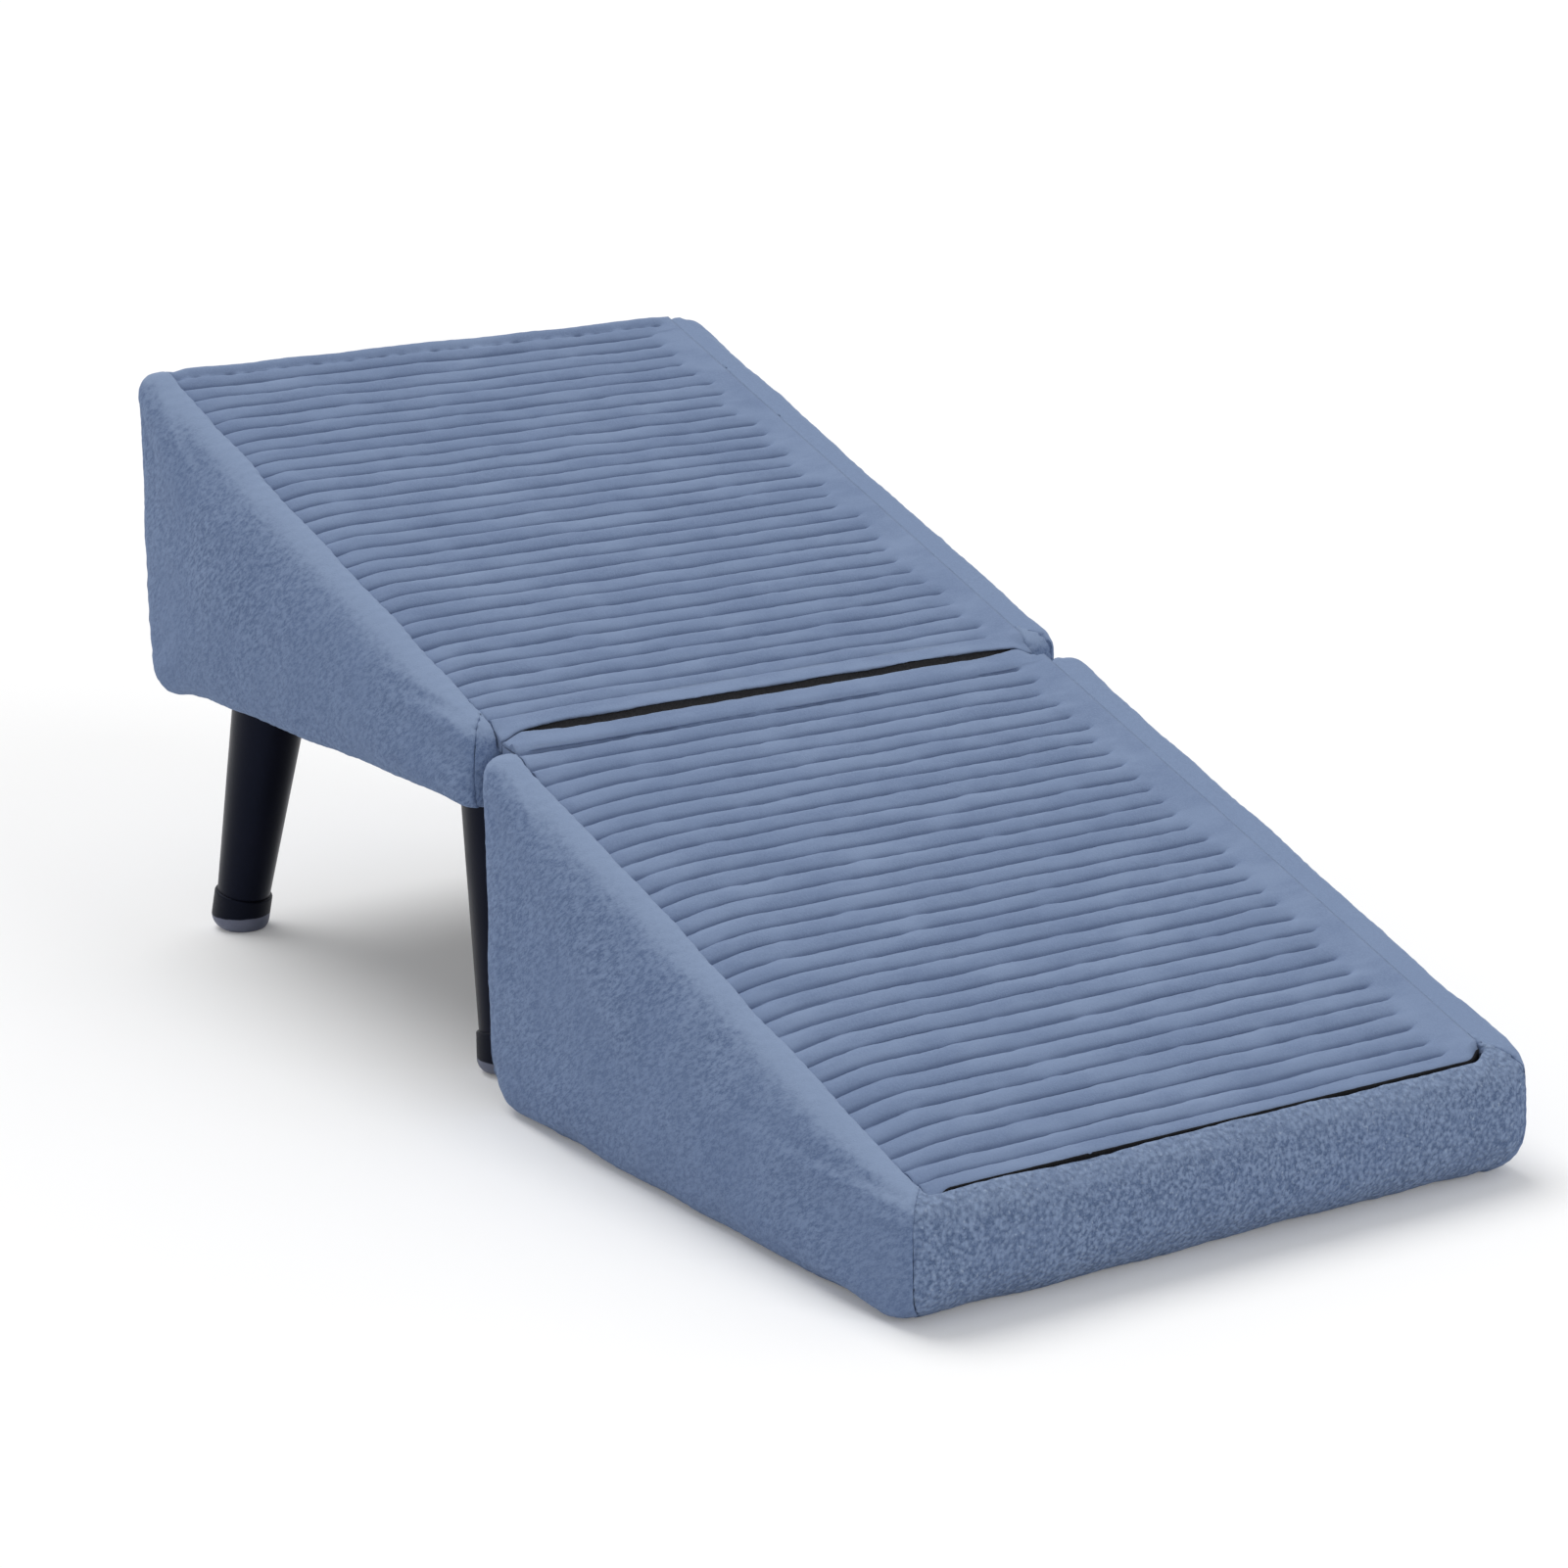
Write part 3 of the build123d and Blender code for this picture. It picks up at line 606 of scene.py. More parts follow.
def woven_material(name, dark, light, pitch, lift):
    """Plain weave: two crossed sets of threads that pass over each other."""
    shader = Shader(name, Specular_IOR_Level=0.2)
    place = shader.coordinates()
    parts = shader.parts(place)
    turns = 2 * math.pi / pitch
    warp, weft = (shader.math("SINE", shader.math("MULTIPLY", parts[axis], turns)) for axis in "XY")
    over = shader.math("MULTIPLY", warp, weft)
    lint = shader.noise(place, 600, detail=3.0)
    thread = shader.math("ADD", shader.band(over, -1.0, 1.0), shader.math("MULTIPLY", lint, 0.5))
    colour = shader.mix(shader.band(thread, 0.3, 1.2), dark, light)
    return shader.finish(colour, shader.band(lint, 0.3, 0.7, 0.75, 0.95), shader.bump(thread, lift, 0.7))


def foam_material():
    """Open-cell upholstery foam, with painted shade in its pores."""
    shader = Shader("upholstery_foam")
    place = shader.coordinates()
    pores = shader.cells(place, 480)
    colour = shader.mix(shader.noise(place, 40, detail=3.0), rgb(222, 214, 190), rgb(238, 232, 214))
    # painted shade in the pits of the pores
    colour = shader.tint(colour, rgb(176, 166, 140), pores, 0.15, 0.45, 0.6, 0.0)
    return shader.finish(colour, shader.band(pores, 0.1, 0.6, 0.8, 1.0), shader.bump(pores, 0.6 * MM, 0.6))


FLEECE_TONES = (rgb(80, 99, 134), rgb(126, 145, 178))
NUBBY_TONES = (rgb(79, 97, 129), rgb(133, 151, 182))
MATERIALS = {
    "fleece": fleece_material("blue_fleece", 0.45, 0.4, 0.7, 0.0, *FLEECE_TONES),
    # the same fleece for the right panels, with less painted light on their rims and a smoother rim nap
    "fleece_less_rim_light": fleece_material("fleece_less_rim_light", 0.45, 0.3, 0.42, 0.0, *FLEECE_TONES),
    "nubby_fleece": fleece_material("nubby_fleece", 0.5, 0.8, 0.4, 0.38, *NUBBY_TONES),
    "ribbed_plush": ribbed_plush_material(),
    "foam": foam_material(),
    "floor_cloth": woven_material("floor_cloth", rgb(44, 48, 56), rgb(84, 90, 100), 1.6 * MM, 0.25 * MM),
    "base_cloth": woven_material("base_cloth", rgb(16, 16, 18), rgb(44, 44, 48), 1.1 * MM, 0.15 * MM),
    "board": plywood_material(),
    "leg_paint": leg_paint_material(),
    "cap_plastic": cap_material(),
    "plated_steel": steel_material(),
    "black_web": woven_material("black_web", rgb(6, 6, 9), rgb(18, 19, 24), 1.4 * MM, 0.25 * MM),
    "zip_tape": woven_material("zip_tape", rgb(40, 52, 76), rgb(74, 90, 120), 0.9 * MM, 0.15 * MM),
    "zip_metal": cloudy_material(
        "zip_metal", 260, 3.0, rgb(62, 64, 70), rgb(104, 107, 114), (0.25, 0.42), 0.05 * MM, Metallic=1.0
    ),
    "grip": cloudy_material(
        "grip_dots", 300, 3.0, rgb(34, 36, 42), rgb(58, 61, 68), (0.55, 0.8), 0.08 * MM
    ),
    # painted shade: dark finish of the crosses that stand for the screws' recesses
    "recess": cloudy_material(
        "screw_recess", 900, 2.0, rgb(22, 22, 24), rgb(48, 48, 52), (0.5, 0.7), Metallic=0.6
    ),
    "coil": cloudy_material(
        "zip_coil_nylon", 500, 2.0, rgb(34, 44, 66), rgb(62, 76, 104), (0.35, 0.5)
    ),
}


def wear(piece, slot, material=None):
    """Gives a piece the finish of a material slot."""
    piece.data.materials.clear()
    piece.data.materials.append(MATERIALS[material or slot])


def dress(piece, body, slot, material=None, node=None, fill=None):
    """Gives a piece its finish and its body, and hides the CAD node that it stands for.

    A piece of the raised wedge with a fill gets a mesh of its own.
    """
    wear(piece, slot, material)
    if node:
        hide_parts(node)
    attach(piece, body)
    if fill and body == HIGH:
        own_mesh(piece)


# Fleece panels

# How far a panel grows out of its solid before the pressure, and how far it swells under it
Panel = namedtuple("Panel", "body material grow swell")
PANELS = {
    "lower_side_panel_left": Panel(LOW, "fleece", 1.0 * MM, 7 * MM),
    "lower_side_panel_right": Panel(LOW, "fleece_less_rim_light", 4.0 * MM, 7 * MM),
    "lower_front_panel": Panel(LOW, "nubby_fleece", 1.0 * MM, 4 * MM),
    "lower_back_panel": Panel(LOW, "fleece", 0.0 * MM, 3 * MM),
    "upper_side_panel_left": Panel(HIGH, "fleece", 2.5 * MM, 7 * MM),
    "upper_side_panel_right": Panel(HIGH, "fleece_less_rim_light", 3.5 * MM, 7 * MM),
    "upper_nose_panel": Panel(HIGH, "fleece", 0.5 * MM, 2 * MM),
    "upper_back_panel": Panel(HIGH, "fleece", 2.5 * MM, 7 * MM),
}
PRESSURE = {
    "quality": 5,
    "mass": 0.3,
    "tension_stiffness": 15,
    "compression_stiffness": 15,
    "shear_stiffness": 5,
    "bending_stiffness": 0.5,
    "use_pressure": True,
    "uniform_pressure_force": 4,
    "vertex_group_mass": "held",
}


def neighbour_tree(node, others):
    """Surfaces of other nodes, for finding what a panel touches."""
    points = []
    faces = []
    for other in others:
        if other == node:
            continue
        mesh = frame["nodes"][other].data
        start = len(points)
        points += [vertex.co.copy() for vertex in mesh.vertices]
        faces += [[start + corner for corner in face.vertices] for face in mesh.polygons]
    return BVHTree.FromPolygons(points, faces)


def near(points, tree, distance):
    """Which points lie this near the surfaces of a tree."""
    return np.array([tree.find_nearest(Vector(point), distance)[0] is not None for point in points])


def pad_blank(node, depth):
    """Closed copy of a panel's solid with an even skin that keeps its edges."""
    mesh = frame["nodes"][node].data.copy()
    point_out(mesh, weld=PAD_WELD)
    pad = link(node + "_pad", mesh)
    remesh = pad.modifiers.new("skin", "REMESH")
    remesh.mode = "SHARP"
    remesh.octree_depth = depth
    remesh.scale = 0.99
    remesh.use_remove_disconnected = False
    apply_modifiers(pad)
    return pad


def set_cloth(pad, held):
    """Cloth under pressure, held where the panel touches other pieces."""
    group = pad.vertex_groups.new(name="held")
    group.add(np.flatnonzero(held).tolist(), 1.0, "REPLACE")
    cloth = pad.modifiers.new("swell", "CLOTH")
    for name, value in PRESSURE.items():
        setattr(cloth.settings, name, value)
    cloth.settings.effector_weights.gravity = 0
    cloth.point_cache.frame_start = 1
    cloth.point_cache.frame_end = SWELL_FRAMES


def edge_ends(mesh):
    """First and second vertices of the edges of a mesh."""
    ends = np.empty(2 * len(mesh.edges), int)
    mesh.edges.foreach_get("vertices", ends)
    return ends.reshape(-1, 2).T


def rounded(mesh, points, held):
    """Positions of a pad with its free edges softened."""
    first, second = edge_ends(mesh)
    count = np.bincount(np.concatenate((first, second)), minlength=len(points))[:, None]
    for _ in range(PAD_ROUNDING):
        total = np.zeros_like(points)
        np.add.at(total, first, points[second])
        np.add.at(total, second, points[first])
        points = np.where(held[:, None], points, 0.5 * points + 0.5 * total / count)
    return points


def lift_seams(mesh, moves, held, sewn):
    """Raises the edges of the seams between panels with the padding beside them, and keeps them sharp."""
    outward = normals_of(mesh)
    rise = np.maximum(np.sum(moves * outward, axis=1), 0)
    total, count = np.zeros(len(moves)), np.zeros(len(moves))
    first, second = edge_ends(mesh)
    for edge, beside in ((first, second), (second, first)):
        use = sewn[edge] & ~held[beside]
        np.add.at(total, edge[use], rise[beside[use]])
        np.add.at(count, edge[use], 1)
    raised = count > 0
    moves[raised] = outward[raised] * (SEAM_LIFT * total[raised] / count[raised])[:, None]
    sharp = (raised[first] & raised[second]).astype(float)
    mesh.attributes.new("crease_edge", "FLOAT", "EDGE").data.foreach_set("value", sharp)
    return moves


def swollen(pad, start, held, swell):
    """Positions of a pad after the pressure, with its moves scaled to the swell that is wanted."""
    graph = bpy.context.evaluated_depsgraph_get()
    moved = points_of(pad.evaluated_get(graph).data) - start
    moved[held] = 0
    furthest = np.percentile(np.linalg.norm(moved, axis=1), FURTHEST)
    if furthest > 0:
        moved *= min(1.0, swell / furthest)
    lengths = np.linalg.norm(moved, axis=1, keepdims=True)
    return start + moved * np.minimum(1.0, swell / np.maximum(lengths, 1e-9))


def nap_over(pad, seed):
    """Soft lumps and tufts of the pile on a pad, which stays on the floor where it meets it."""
    points = points_of(pad.data)
    points += normals_of(pad.data) * lumps(points, PAD_LUMPS, seed)[:, None]
    points[:, 2] = np.maximum(points[:, 2], cad_box[0][2])
    set_points(pad.data, points)


def droop(points):
    """Lets the lower edges of the raised wedge's panels hang at the back, and its left back corner rise."""
    x, y, z = points.T
    low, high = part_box("upper_side_panel_left")
    at_back = smooth_step(y, low.y, high.y)
    at_corner = smooth_step(y, *BACK_CORNER)
    fade = np.clip((low.z + DROOP_HEIGHT - z) / DROOP_HEIGHT, 0, 1)
    z -= (DROOP * at_back + CORNER_DROOP * at_corner) * fade
    at_top = smooth_step(z - high.z, *RISE_TOP)
    z += CORNER_RISE * at_corner * at_top * smooth_step(-x, *RISE_SIDE)


def curl_corner(pad):
    """Draws the inner corner of the lip and the right rim up the slope with the crease that ends there."""
    points = points_of(pad.data)
    x, y, z = points.T
    low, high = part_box("lower_tread")
    across, along = x - high.x, np.abs(y - low.y)
    depths = [rim_z(y, depth) for depth in CURL_DEPTH]
    share = smooth_step(across, -CURL_WIDTH, 0) ** 2 * (1 - smooth_step(across, *CURL_OUT))
    share *= (1 - smooth_step(along, *CURL_ALONG)) * smooth_step(z, *depths)
    y += CREASE_CURL * share * math.cos(SLOPE)
    z += CREASE_CURL * share * math.sin(SLOPE)
    set_points(pad.data, points)


def run_on(pad):
    """Makes the top of a right rim run on flat from its tread, with no rounding and no gap between them."""
    points = points_of(pad.data)
    x, y, z = points.T
    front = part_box("lower_tread")[0].y
    back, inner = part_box("upper_tread")[1].y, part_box("upper_tread")[1].x
    across, flat = x - inner, rim_z(y)
    upward = normals_of(pad.data)[:, 2] > RIM_UPWARD
    rounded_off = (across < RIM_FILL) & upward & (z > flat - RIM_FILL)
    fill = smooth_step(y - front, *FILL_FRONT) * smooth_step(back - y, *FILL_BACK)
    fill *= smooth_step(np.abs(y), *FILL_FOLD)
    z += np.where(rounded_off, fill * np.maximum(flat - z, 0), 0)
    proud = RIM_PROUD * smooth_step(across, *PROUD_EASE)
    z[:] = np.minimum(z, rim_z(y, -proud))
    beside_tread = (across < RIM_BESIDE) & (z > rim_z(y, TREAD)) & (fill > 0)
    x[:] = np.where(beside_tread, inner + RIM_GAP * (1 - fill), x)
    set_points(pad.data, points)
    pad.data.set_sharp_from_angle(angle=RIM_SHARP)


def spread_right(pad):
    """Spreads the right rims outwards, with the ends of the panels that meet them."""
    points = points_of(pad.data)
    across = points[:, 0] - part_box("upper_tread")[1].x
    points[:, 0] += RIM_SPREAD * smooth_step(across, *SPREAD_EASE)
    set_points(pad.data, points)


def keep_slit(pad, body):
    """Closes the slit between the wedges beside the treads, and keeps the pads on their own sides of it."""
    points = points_of(pad.data)
    _, y, z = points.T
    side = 1 if body == HIGH else -1
    away = side * y
    rise = z - rim_z(y)
    away = away - SLIT_CLOSE * np.clip(1 - away / END_EASE, 0, 1) * np.clip(1 + rise / FOLD_DEPTH, 0, 1)
    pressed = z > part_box("upper_nose_panel")[0].z - FOLD_BELOW
    y[:] = side * np.where(pressed, np.maximum(away, FOLD_CLEAR), away)
    set_points(pad.data, points)


def press_zip(pad):
    """Presses the skin of the low wedge's back panel down into the recess of the zip."""
    points = points_of(pad.data)
    x, y, z = points.T
    low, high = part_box("lower_zip_chain")
    aside = np.maximum(np.maximum(low.x - x, x - high.x), 0)
    above = np.maximum(np.maximum(low.z - z, z - high.z), 0)
    away = np.hypot(aside, above)
    bank = np.clip(ZIP_STEEP * (away - ZIP_LEDGE), 0, ZIP_BANK)
    depth = low.y - ZIP_SINK + bank + ZIP_SLANT * np.maximum(away - ZIP_WIDTH, 0)
    skin = (normals_of(pad.data)[:, 1] > ZIP_OUTWARD) & (y > low.y - ZIP_REACH)
    y[:] = np.where(skin, np.minimum(y, depth), y)
    set_points(pad.data, points)


def fleece_panels():
    """The eight fleece panels of both wedges, swollen together in one simulation."""
    pads = {}
    for node, panel in PANELS.items():
        pad = pad_blank(node, PAD_DEPTH)
        solid = points_of(pad.data)
        members = frame["record"]["behaviour"]["bodies"][panel.body]
        held = near(solid, neighbour_tree(node, members), HELD_WITHIN)
        sewn = near(solid, neighbour_tree(node, [other for other in members if other in PANELS]), HELD_WITHIN)
        start = solid.copy()
        start[~held] += normals_of(pad.data)[~held] * panel.grow
        start = rounded(pad.data, start, held)
        set_points(pad.data, start)
        pads[node] = (pad, solid, start, held, sewn)
        set_cloth(pad, held)
    for step in range(1, SWELL_FRAMES + 1):
        bpy.context.scene.frame_set(step)
    shapes = {}
    for node, (pad, solid, start, held, sewn) in pads.items():
        moves = swollen(pad, start, held, PANELS[node].swell) - solid
        shapes[node] = solid + lift_seams(pad.data, moves, held, sewn)
    for index, (node, (pad, *_)) in enumerate(pads.items()):
        pad.modifiers.clear()
        pad.vertex_groups.clear()
        panel = PANELS[node]
        if panel.body == HIGH:
            droop(shapes[node])
        set_points(pad.data, shapes[node])
        pad.modifiers.new("subdivide", "SUBSURF").levels = 1
        apply_modifiers(pad)
        pad.data.shade_smooth()
        nap_over(pad, seed=100 + 10 * index)
        keep_slit(pad, panel.body)
        if node.endswith("_right"):
            run_on(pad)
        spread_right(pad)
        if panel.body == LOW:
            curl_corner(pad)
        if node == "lower_back_panel":
            press_zip(pad)
        dress(pad, panel.body, "fleece", panel.material, node, fill=0.8)
    bpy.context.scene.frame_set(1)


# Ribbed treads


def waves(x, lengths, seed):
    """Uneven line along x made of waves of the given lengths, about between -1 and 1."""
    random = np.random.RandomState(seed)
    line = np.zeros_like(x)
    for length in lengths:
        line += random.uniform(0.3, 1.0) * np.sin(2 * math.pi * x / length + random.uniform(0, 2 * math.pi))
    return line / (0.55 * len(lengths) + 0.6)


class Tread:
    """A ribbed pad made of rows across it.

    A row has its distance up the slope, its depth below the rims and the painted shade of its channel, each
    given once or at every x.
    """

    def __init__(self, node, dip, dip_width, seed):
        low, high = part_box(node)
        self.node = node
        self.front = low.y
        self.length = (high.y - low.y) / math.cos(SLOPE)
        self.half = high.x - TREAD_CLEARANCE
        self.seed = seed
        self.x = np.linspace(-self.half, high.x - FLUSH_CLEARANCE, TREAD_SAMPLES)
        self.fall = dip * np.clip((-self.x - (self.half - dip_width)) / dip_width, 0, 1) ** 2
        self.flush = smooth_step(self.x, self.half - PLAIN_EDGE, self.half)
        self.at_rims = smooth_step(np.abs(self.x), self.half - SLIT_WIDTH, self.half - SLIT_SHUT)
        self.corner = smooth_step(np.abs(self.x), self.half - CORNER_WIDTH, self.half)

    def levelled(self, depth):
        """A row's depth, brought up to the right rim."""
        return depth + (FLUSH_DEPTH - depth) * self.flush

    def channel(self, index):
        """How far a channel strays up the slope, and how much of its depth it has, at every x."""
        stray = GROOVE_WAVER * waves(self.x, STRAY_WAVES, self.seed * 1000 + index)
        kept = 1 - GROOVE_FADE * np.clip(waves(self.x, FADE_WAVES, self.seed * 2000 + index), 0, 1)
        random = np.random.RandomState(self.seed * 3000 + index)
        stop = self.half - PLAIN_EDGE + random.uniform(*CHANNEL_STOP) * MM
        return stray, kept * (1 - smooth_step(self.x, stop - CHANNEL_FADE, stop))

    def ribs(self, low_hem, high_hem):
        """Domed ribs between sewn channels, and the first and the last of those channels."""
        span = self.length - low_hem - high_hem
        count = round(span / RIB_PITCH)
        pitch = span / count
        channels = [self.channel(index) for index in range(count + 1)]
        shares = 0.5 - 0.5 * np.cos(math.pi * np.linspace(0, 1, RIB_SAMPLES + 1))
        rows = []
        for rib in range(count):
            (stray_a, kept_a), (stray_b, kept_b) = channels[rib], channels[rib + 1]
            swell = RIB_UNEVEN * np.sin(2 * math.pi * self.x / RIB_WAVE + self.seed + RIB_TURN * rib)
            for share in shares if rib == count - 1 else shares[:-1]:
                near_end = np.interp(rib + share, [0, 3, count - 3, count], [0, 1, 1, 0])
                along = low_hem + (rib + share) * pitch + stray_a * (1 - share) + stray_b * share
                crest = math.sin(math.pi * share) ** RIB_FULLNESS
                sunk = (1 - crest) * (kept_a * (1 - share) + kept_b * share)
                depth = RIB_DEPTH + self.fall * near_end + RIB_HEIGHT * (sunk - crest * swell)
                # sunk also gives the painted shade of the channel
                rows.append((along, self.levelled(depth), sunk))
        return rows, channels[0], channels[-1]

    def hem(self, outline, drop, hem, channel, at_top):
        """Band between an end of the tread and its nearest channel."""
        stray, kept = channel
        edge = EDGE_STRAY * waves(self.x, EDGE_WAVES, self.seed + 40 + at_top)
        rows = []
        for inset, depth, shade in outline:
            lower = drop * self.corner * max(0, 1 - inset / DROP_EASE)
            uneven = edge * max(0, 1 - inset / EDGE_EASE)
            rows.append((inset + uneven, np.minimum(depth + lower, TREAD), shade))
        crest = outline[-1][1]
        for before in HEM_SLOPE:
            sunk = kept * (1 - before / HEM_SLOPE[0]) ** 2
            depth = crest + (RIB_DEPTH + RIB_HEIGHT - crest) * sunk
            turned = (-stray if at_top else stray) * (1 - before / HEM_SLOPE[0])
            # sunk also gives the painted shade of the channel
            rows.append((hem - before + turned, self.levelled(depth), sunk))
        if at_top:
            rows = [(self.length - along, depth, shade) for along, depth, shade in reversed(rows)]
        return rows

    def piece(self, body, rows, low_move, high_move):
        """The closed pad, with its ends moved up the slope."""
        lines = []
        for along, depth, _ in rows:
            moved = along + low_move * np.clip(1 - along / END_EASE, 0, 1)
            moved = moved + high_move * np.clip(1 - (self.length - along) / END_EASE, 0, 1)
            y = self.front + moved * math.cos(SLOPE)
            lines.append(stack(self.x, y, rim_z(y, depth)))
        pad = loft(self.node + "_pad", lines)
        points = points_of(pad.data)
        height = lumps(points, TREAD_LUMPS, self.seed)
        height *= 1 - smooth_step(points[:, 0], self.half - PLAIN_EDGE, self.half)
        points[:, 1:] += normals_of(pad.data)[:, 1:] * height[:, None]
        set_points(pad.data, points)
        # the channel attribute carries the painted shade of the channels and creases
        painted_shades = np.column_stack([np.broadcast_to(shade, self.x.shape) for _, _, shade in rows])
        pad.data.attributes.new("channel", "FLOAT", "POINT").data.foreach_set("value", painted_shades.ravel())
        dress(pad, body, "ribbed_plush", node=self.node, fill=0.7)


def crease_move(x, half):
    """How far the lower tread's front end is drawn back: not at the left rim, and most at the right one."""
    closed = smooth_step(-x, half - CREASE_CLOSE, half - CREASE_SHUT)
    return CREASE_OPEN * (1 - closed) + CREASE_CURL * smooth_step(x, half - CURL_WIDTH, half) ** 2


def slit_move(tread):
    """How far a tread's end at the fold is drawn back from the slit."""
    return SLIT_OPEN - (SLIT_OPEN + SLIT_CLOSE) * tread.at_rims


# The ends of a tread are outlines from its underside up, as (distance in from the end, depth, painted shade)


def crease_end():
    """Front end of the lower tread."""
    edge = [(0, 2.9 * MM), (0.5 * MM, 2.2 * MM), (1.6 * MM, 1.7 * MM)]
    return [(inset, depth, 0) for inset, depth in [(0, TREAD)] + edge + [(4 * MM, RIB_DEPTH)]]


def fold_end():
    """End of a tread at the fold, with the slot for the tape."""
    tape_top = TAPE_DEPTH - TAPE_CLEARANCE
    tape_bottom = TAPE_DEPTH + TAPE + TAPE_CLEARANCE
    slot = [(0, TREAD), (0, tape_bottom), (TAPE_REACH, tape_bottom), (TAPE_REACH, tape_top)]
    lip = [(0.3 * MM, tape_top), (0, 1.5 * MM), (0.35 * MM, 1.05 * MM), (1.2 * MM, HEM_DEPTH)]
    return [(inset, depth, 0) for inset, depth in slot + lip + [(4 * MM, HEM_DEPTH), (7 * MM, HEM_DEPTH)]]


def roll_end(tread):
    """Back end of the upper tread: a soft roll with a broken crease, flat at the right rim."""
    crease = np.clip(ROLL_CREASE + waves(tread.x, ROLL_WAVES, tread.seed + 60), 0, 1) * (1 - tread.flush)
    outline = [(0, TREAD, 0), (0, 3.0 * MM, 0), (0.6 * MM, 1.2 * MM, 0)]
    # rows of (inset, depth, sink with the crease, in millimetres, and painted shade of the crease)
    for inset, depth, sunk, shade in (
        (2.0, -0.3, 0.0, 0.0),
        (4.5, -1.3, 0.0, 0.0),
        (7.0, -1.1, 0.0, 0.0),
        (8.4, -0.2, 0.0, 0.0),
        (9.2, 0.4, 0.6, 0.6),
        (10.2, 0.9, 2.2, 1.2),
        (11.4, 0.9, 0.6, 0.7),
        (13.0, 0.8, 0.0, 0.0),
    ):
        outline.append((inset * MM, tread.levelled((depth + sunk * crease) * MM), shade * crease))
    return outline


def tread_pieces():
    """Ribbed pads of both wedges."""
    lower = Tread("lower_tread", dip=5.0 * MM, dip_width=48 * MM, seed=3)
    ribs, first, last = lower.ribs(FRONT_HEM, FOLD_HEM)
    front = lower.hem(crease_end(), FRONT_DROP, FRONT_HEM, first, at_top=False)
    back = lower.hem(fold_end(), FOLD_DROP, FOLD_HEM, last, at_top=True)
    lower.piece(LOW, front + ribs + back, crease_move(lower.x, lower.half), -slit_move(lower))

    upper = Tread("upper_tread", dip=3.0 * MM, dip_width=26 * MM, seed=5)
    ribs, first, last = upper.ribs(FOLD_HEM, BACK_HEM)
    front = upper.hem(fold_end(), FOLD_DROP, FOLD_HEM, first, at_top=False)
    back = upper.hem(roll_end(upper), BACK_DROP * (upper.x < 0), BACK_HEM, last, at_top=True)
    upper.piece(HIGH, front + ribs + back, slit_move(upper), 0.0)


def crease_shade_strip():
    """Black strip at the lower tread's front end: painted shade, a dark piece that shows as the shaded crease
    behind the lip.
    """
    low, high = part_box("lower_tread")
    half = high.x - TREAD_CLEARANCE
    x = np.linspace(CREASE_STRIP_LEFT - half, half - CREASE_STRIP_RIGHT, CREASE_STRIP_SAMPLES)
    move = crease_move(x, half) + CREASE_STRIP_STRAY * waves(x, CREASE_STRIP_WAVES, seed=91)
    sunk = CREASE_STRIP_SINK * smooth_step(-x, half - CREASE_CLOSE, half - CREASE_SHUT)
    lines = []
    for ahead, depth in CREASE_STRIP_OUTLINE:
        y = low.y + (move + ahead * MM) * math.cos(SLOPE)
        lines.append(stack(x, y, rim_z(y, depth * MM + sunk)))
    dress(loft("front_crease_shade_strip", lines), LOW, "black_web")


def fold_tape():
    """Woven tape of the fold, a little slack in the slit between the two wedges."""
    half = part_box("hinge_tape")[1].x - TAPE_MARGIN
    x = np.linspace(-half, half, TAPE_SAMPLES)
    beyond = np.linspace(TAPE_FREE, TAPE_REACH - TAPE_SHORT, 6)
    along = np.concatenate((-beyond[::-1], np.linspace(-SLIT_HALF, SLIT_HALF, 13), beyond))
    slack = TAPE_SLACK * np.clip(1 - (along / TAPE_FREE) ** 2, 0, 1)
    top = list(zip(along * math.cos(SLOPE), TAPE_DEPTH + slack))
    bottom = [(y, depth + TAPE) for y, depth in reversed(top)]
    tape = loft("fold_tape", [stack(x, y, rim_z(y, depth)) for y, depth in top + bottom])
    wear(tape, "black_web")
    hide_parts("hinge_tape")
    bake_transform(tape)


# Cloth under the wedges


def under_cloth(name, node, body, slot, lift, seed):
    """Stretched cloth in the place of a node, with shallow pulls between its fastenings."""
    low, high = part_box(node)
    x = np.linspace(low.x + CLOTH_INSET, high.x - CLOTH_INSET, CLOTH_SAMPLES)
    y = np.linspace(low.y + CLOTH_INSET, high.y - CLOTH_INSET, CLOTH_SAMPLES)
    grid_x, grid_y = (grid.ravel() for grid in np.meshgrid(x, y))
    pulls = np.abs(lumps(stack(grid_x, grid_y, 0.0), CLOTH_PULLS, seed))
    bottom = stack(grid_x, grid_y, low.z + lift + pulls)
    count = len(bottom)
    index = np.arange(count).reshape(len(y), len(x))
    quads = np.stack((index[:-1, :-1], index[1:, :-1], index[1:, 1:], index[:-1, 1:]), axis=-1).reshape(-1, 4)
    edge = np.concatenate((index[0], index[1:, -1], index[-1, -2::-1], index[-2:0:-1, 0]))
    after = np.roll(edge, -1)
    sides = np.column_stack((edge, after, count + after, count + edge))
    faces = np.concatenate((quads, count + quads[:, ::-1], sides)).tolist()
    cloth = mesh_piece(name, np.concatenate((bottom, bottom + (0, 0, CLOTH))), faces)
    dress(cloth, body, slot, node=node)
    return cloth


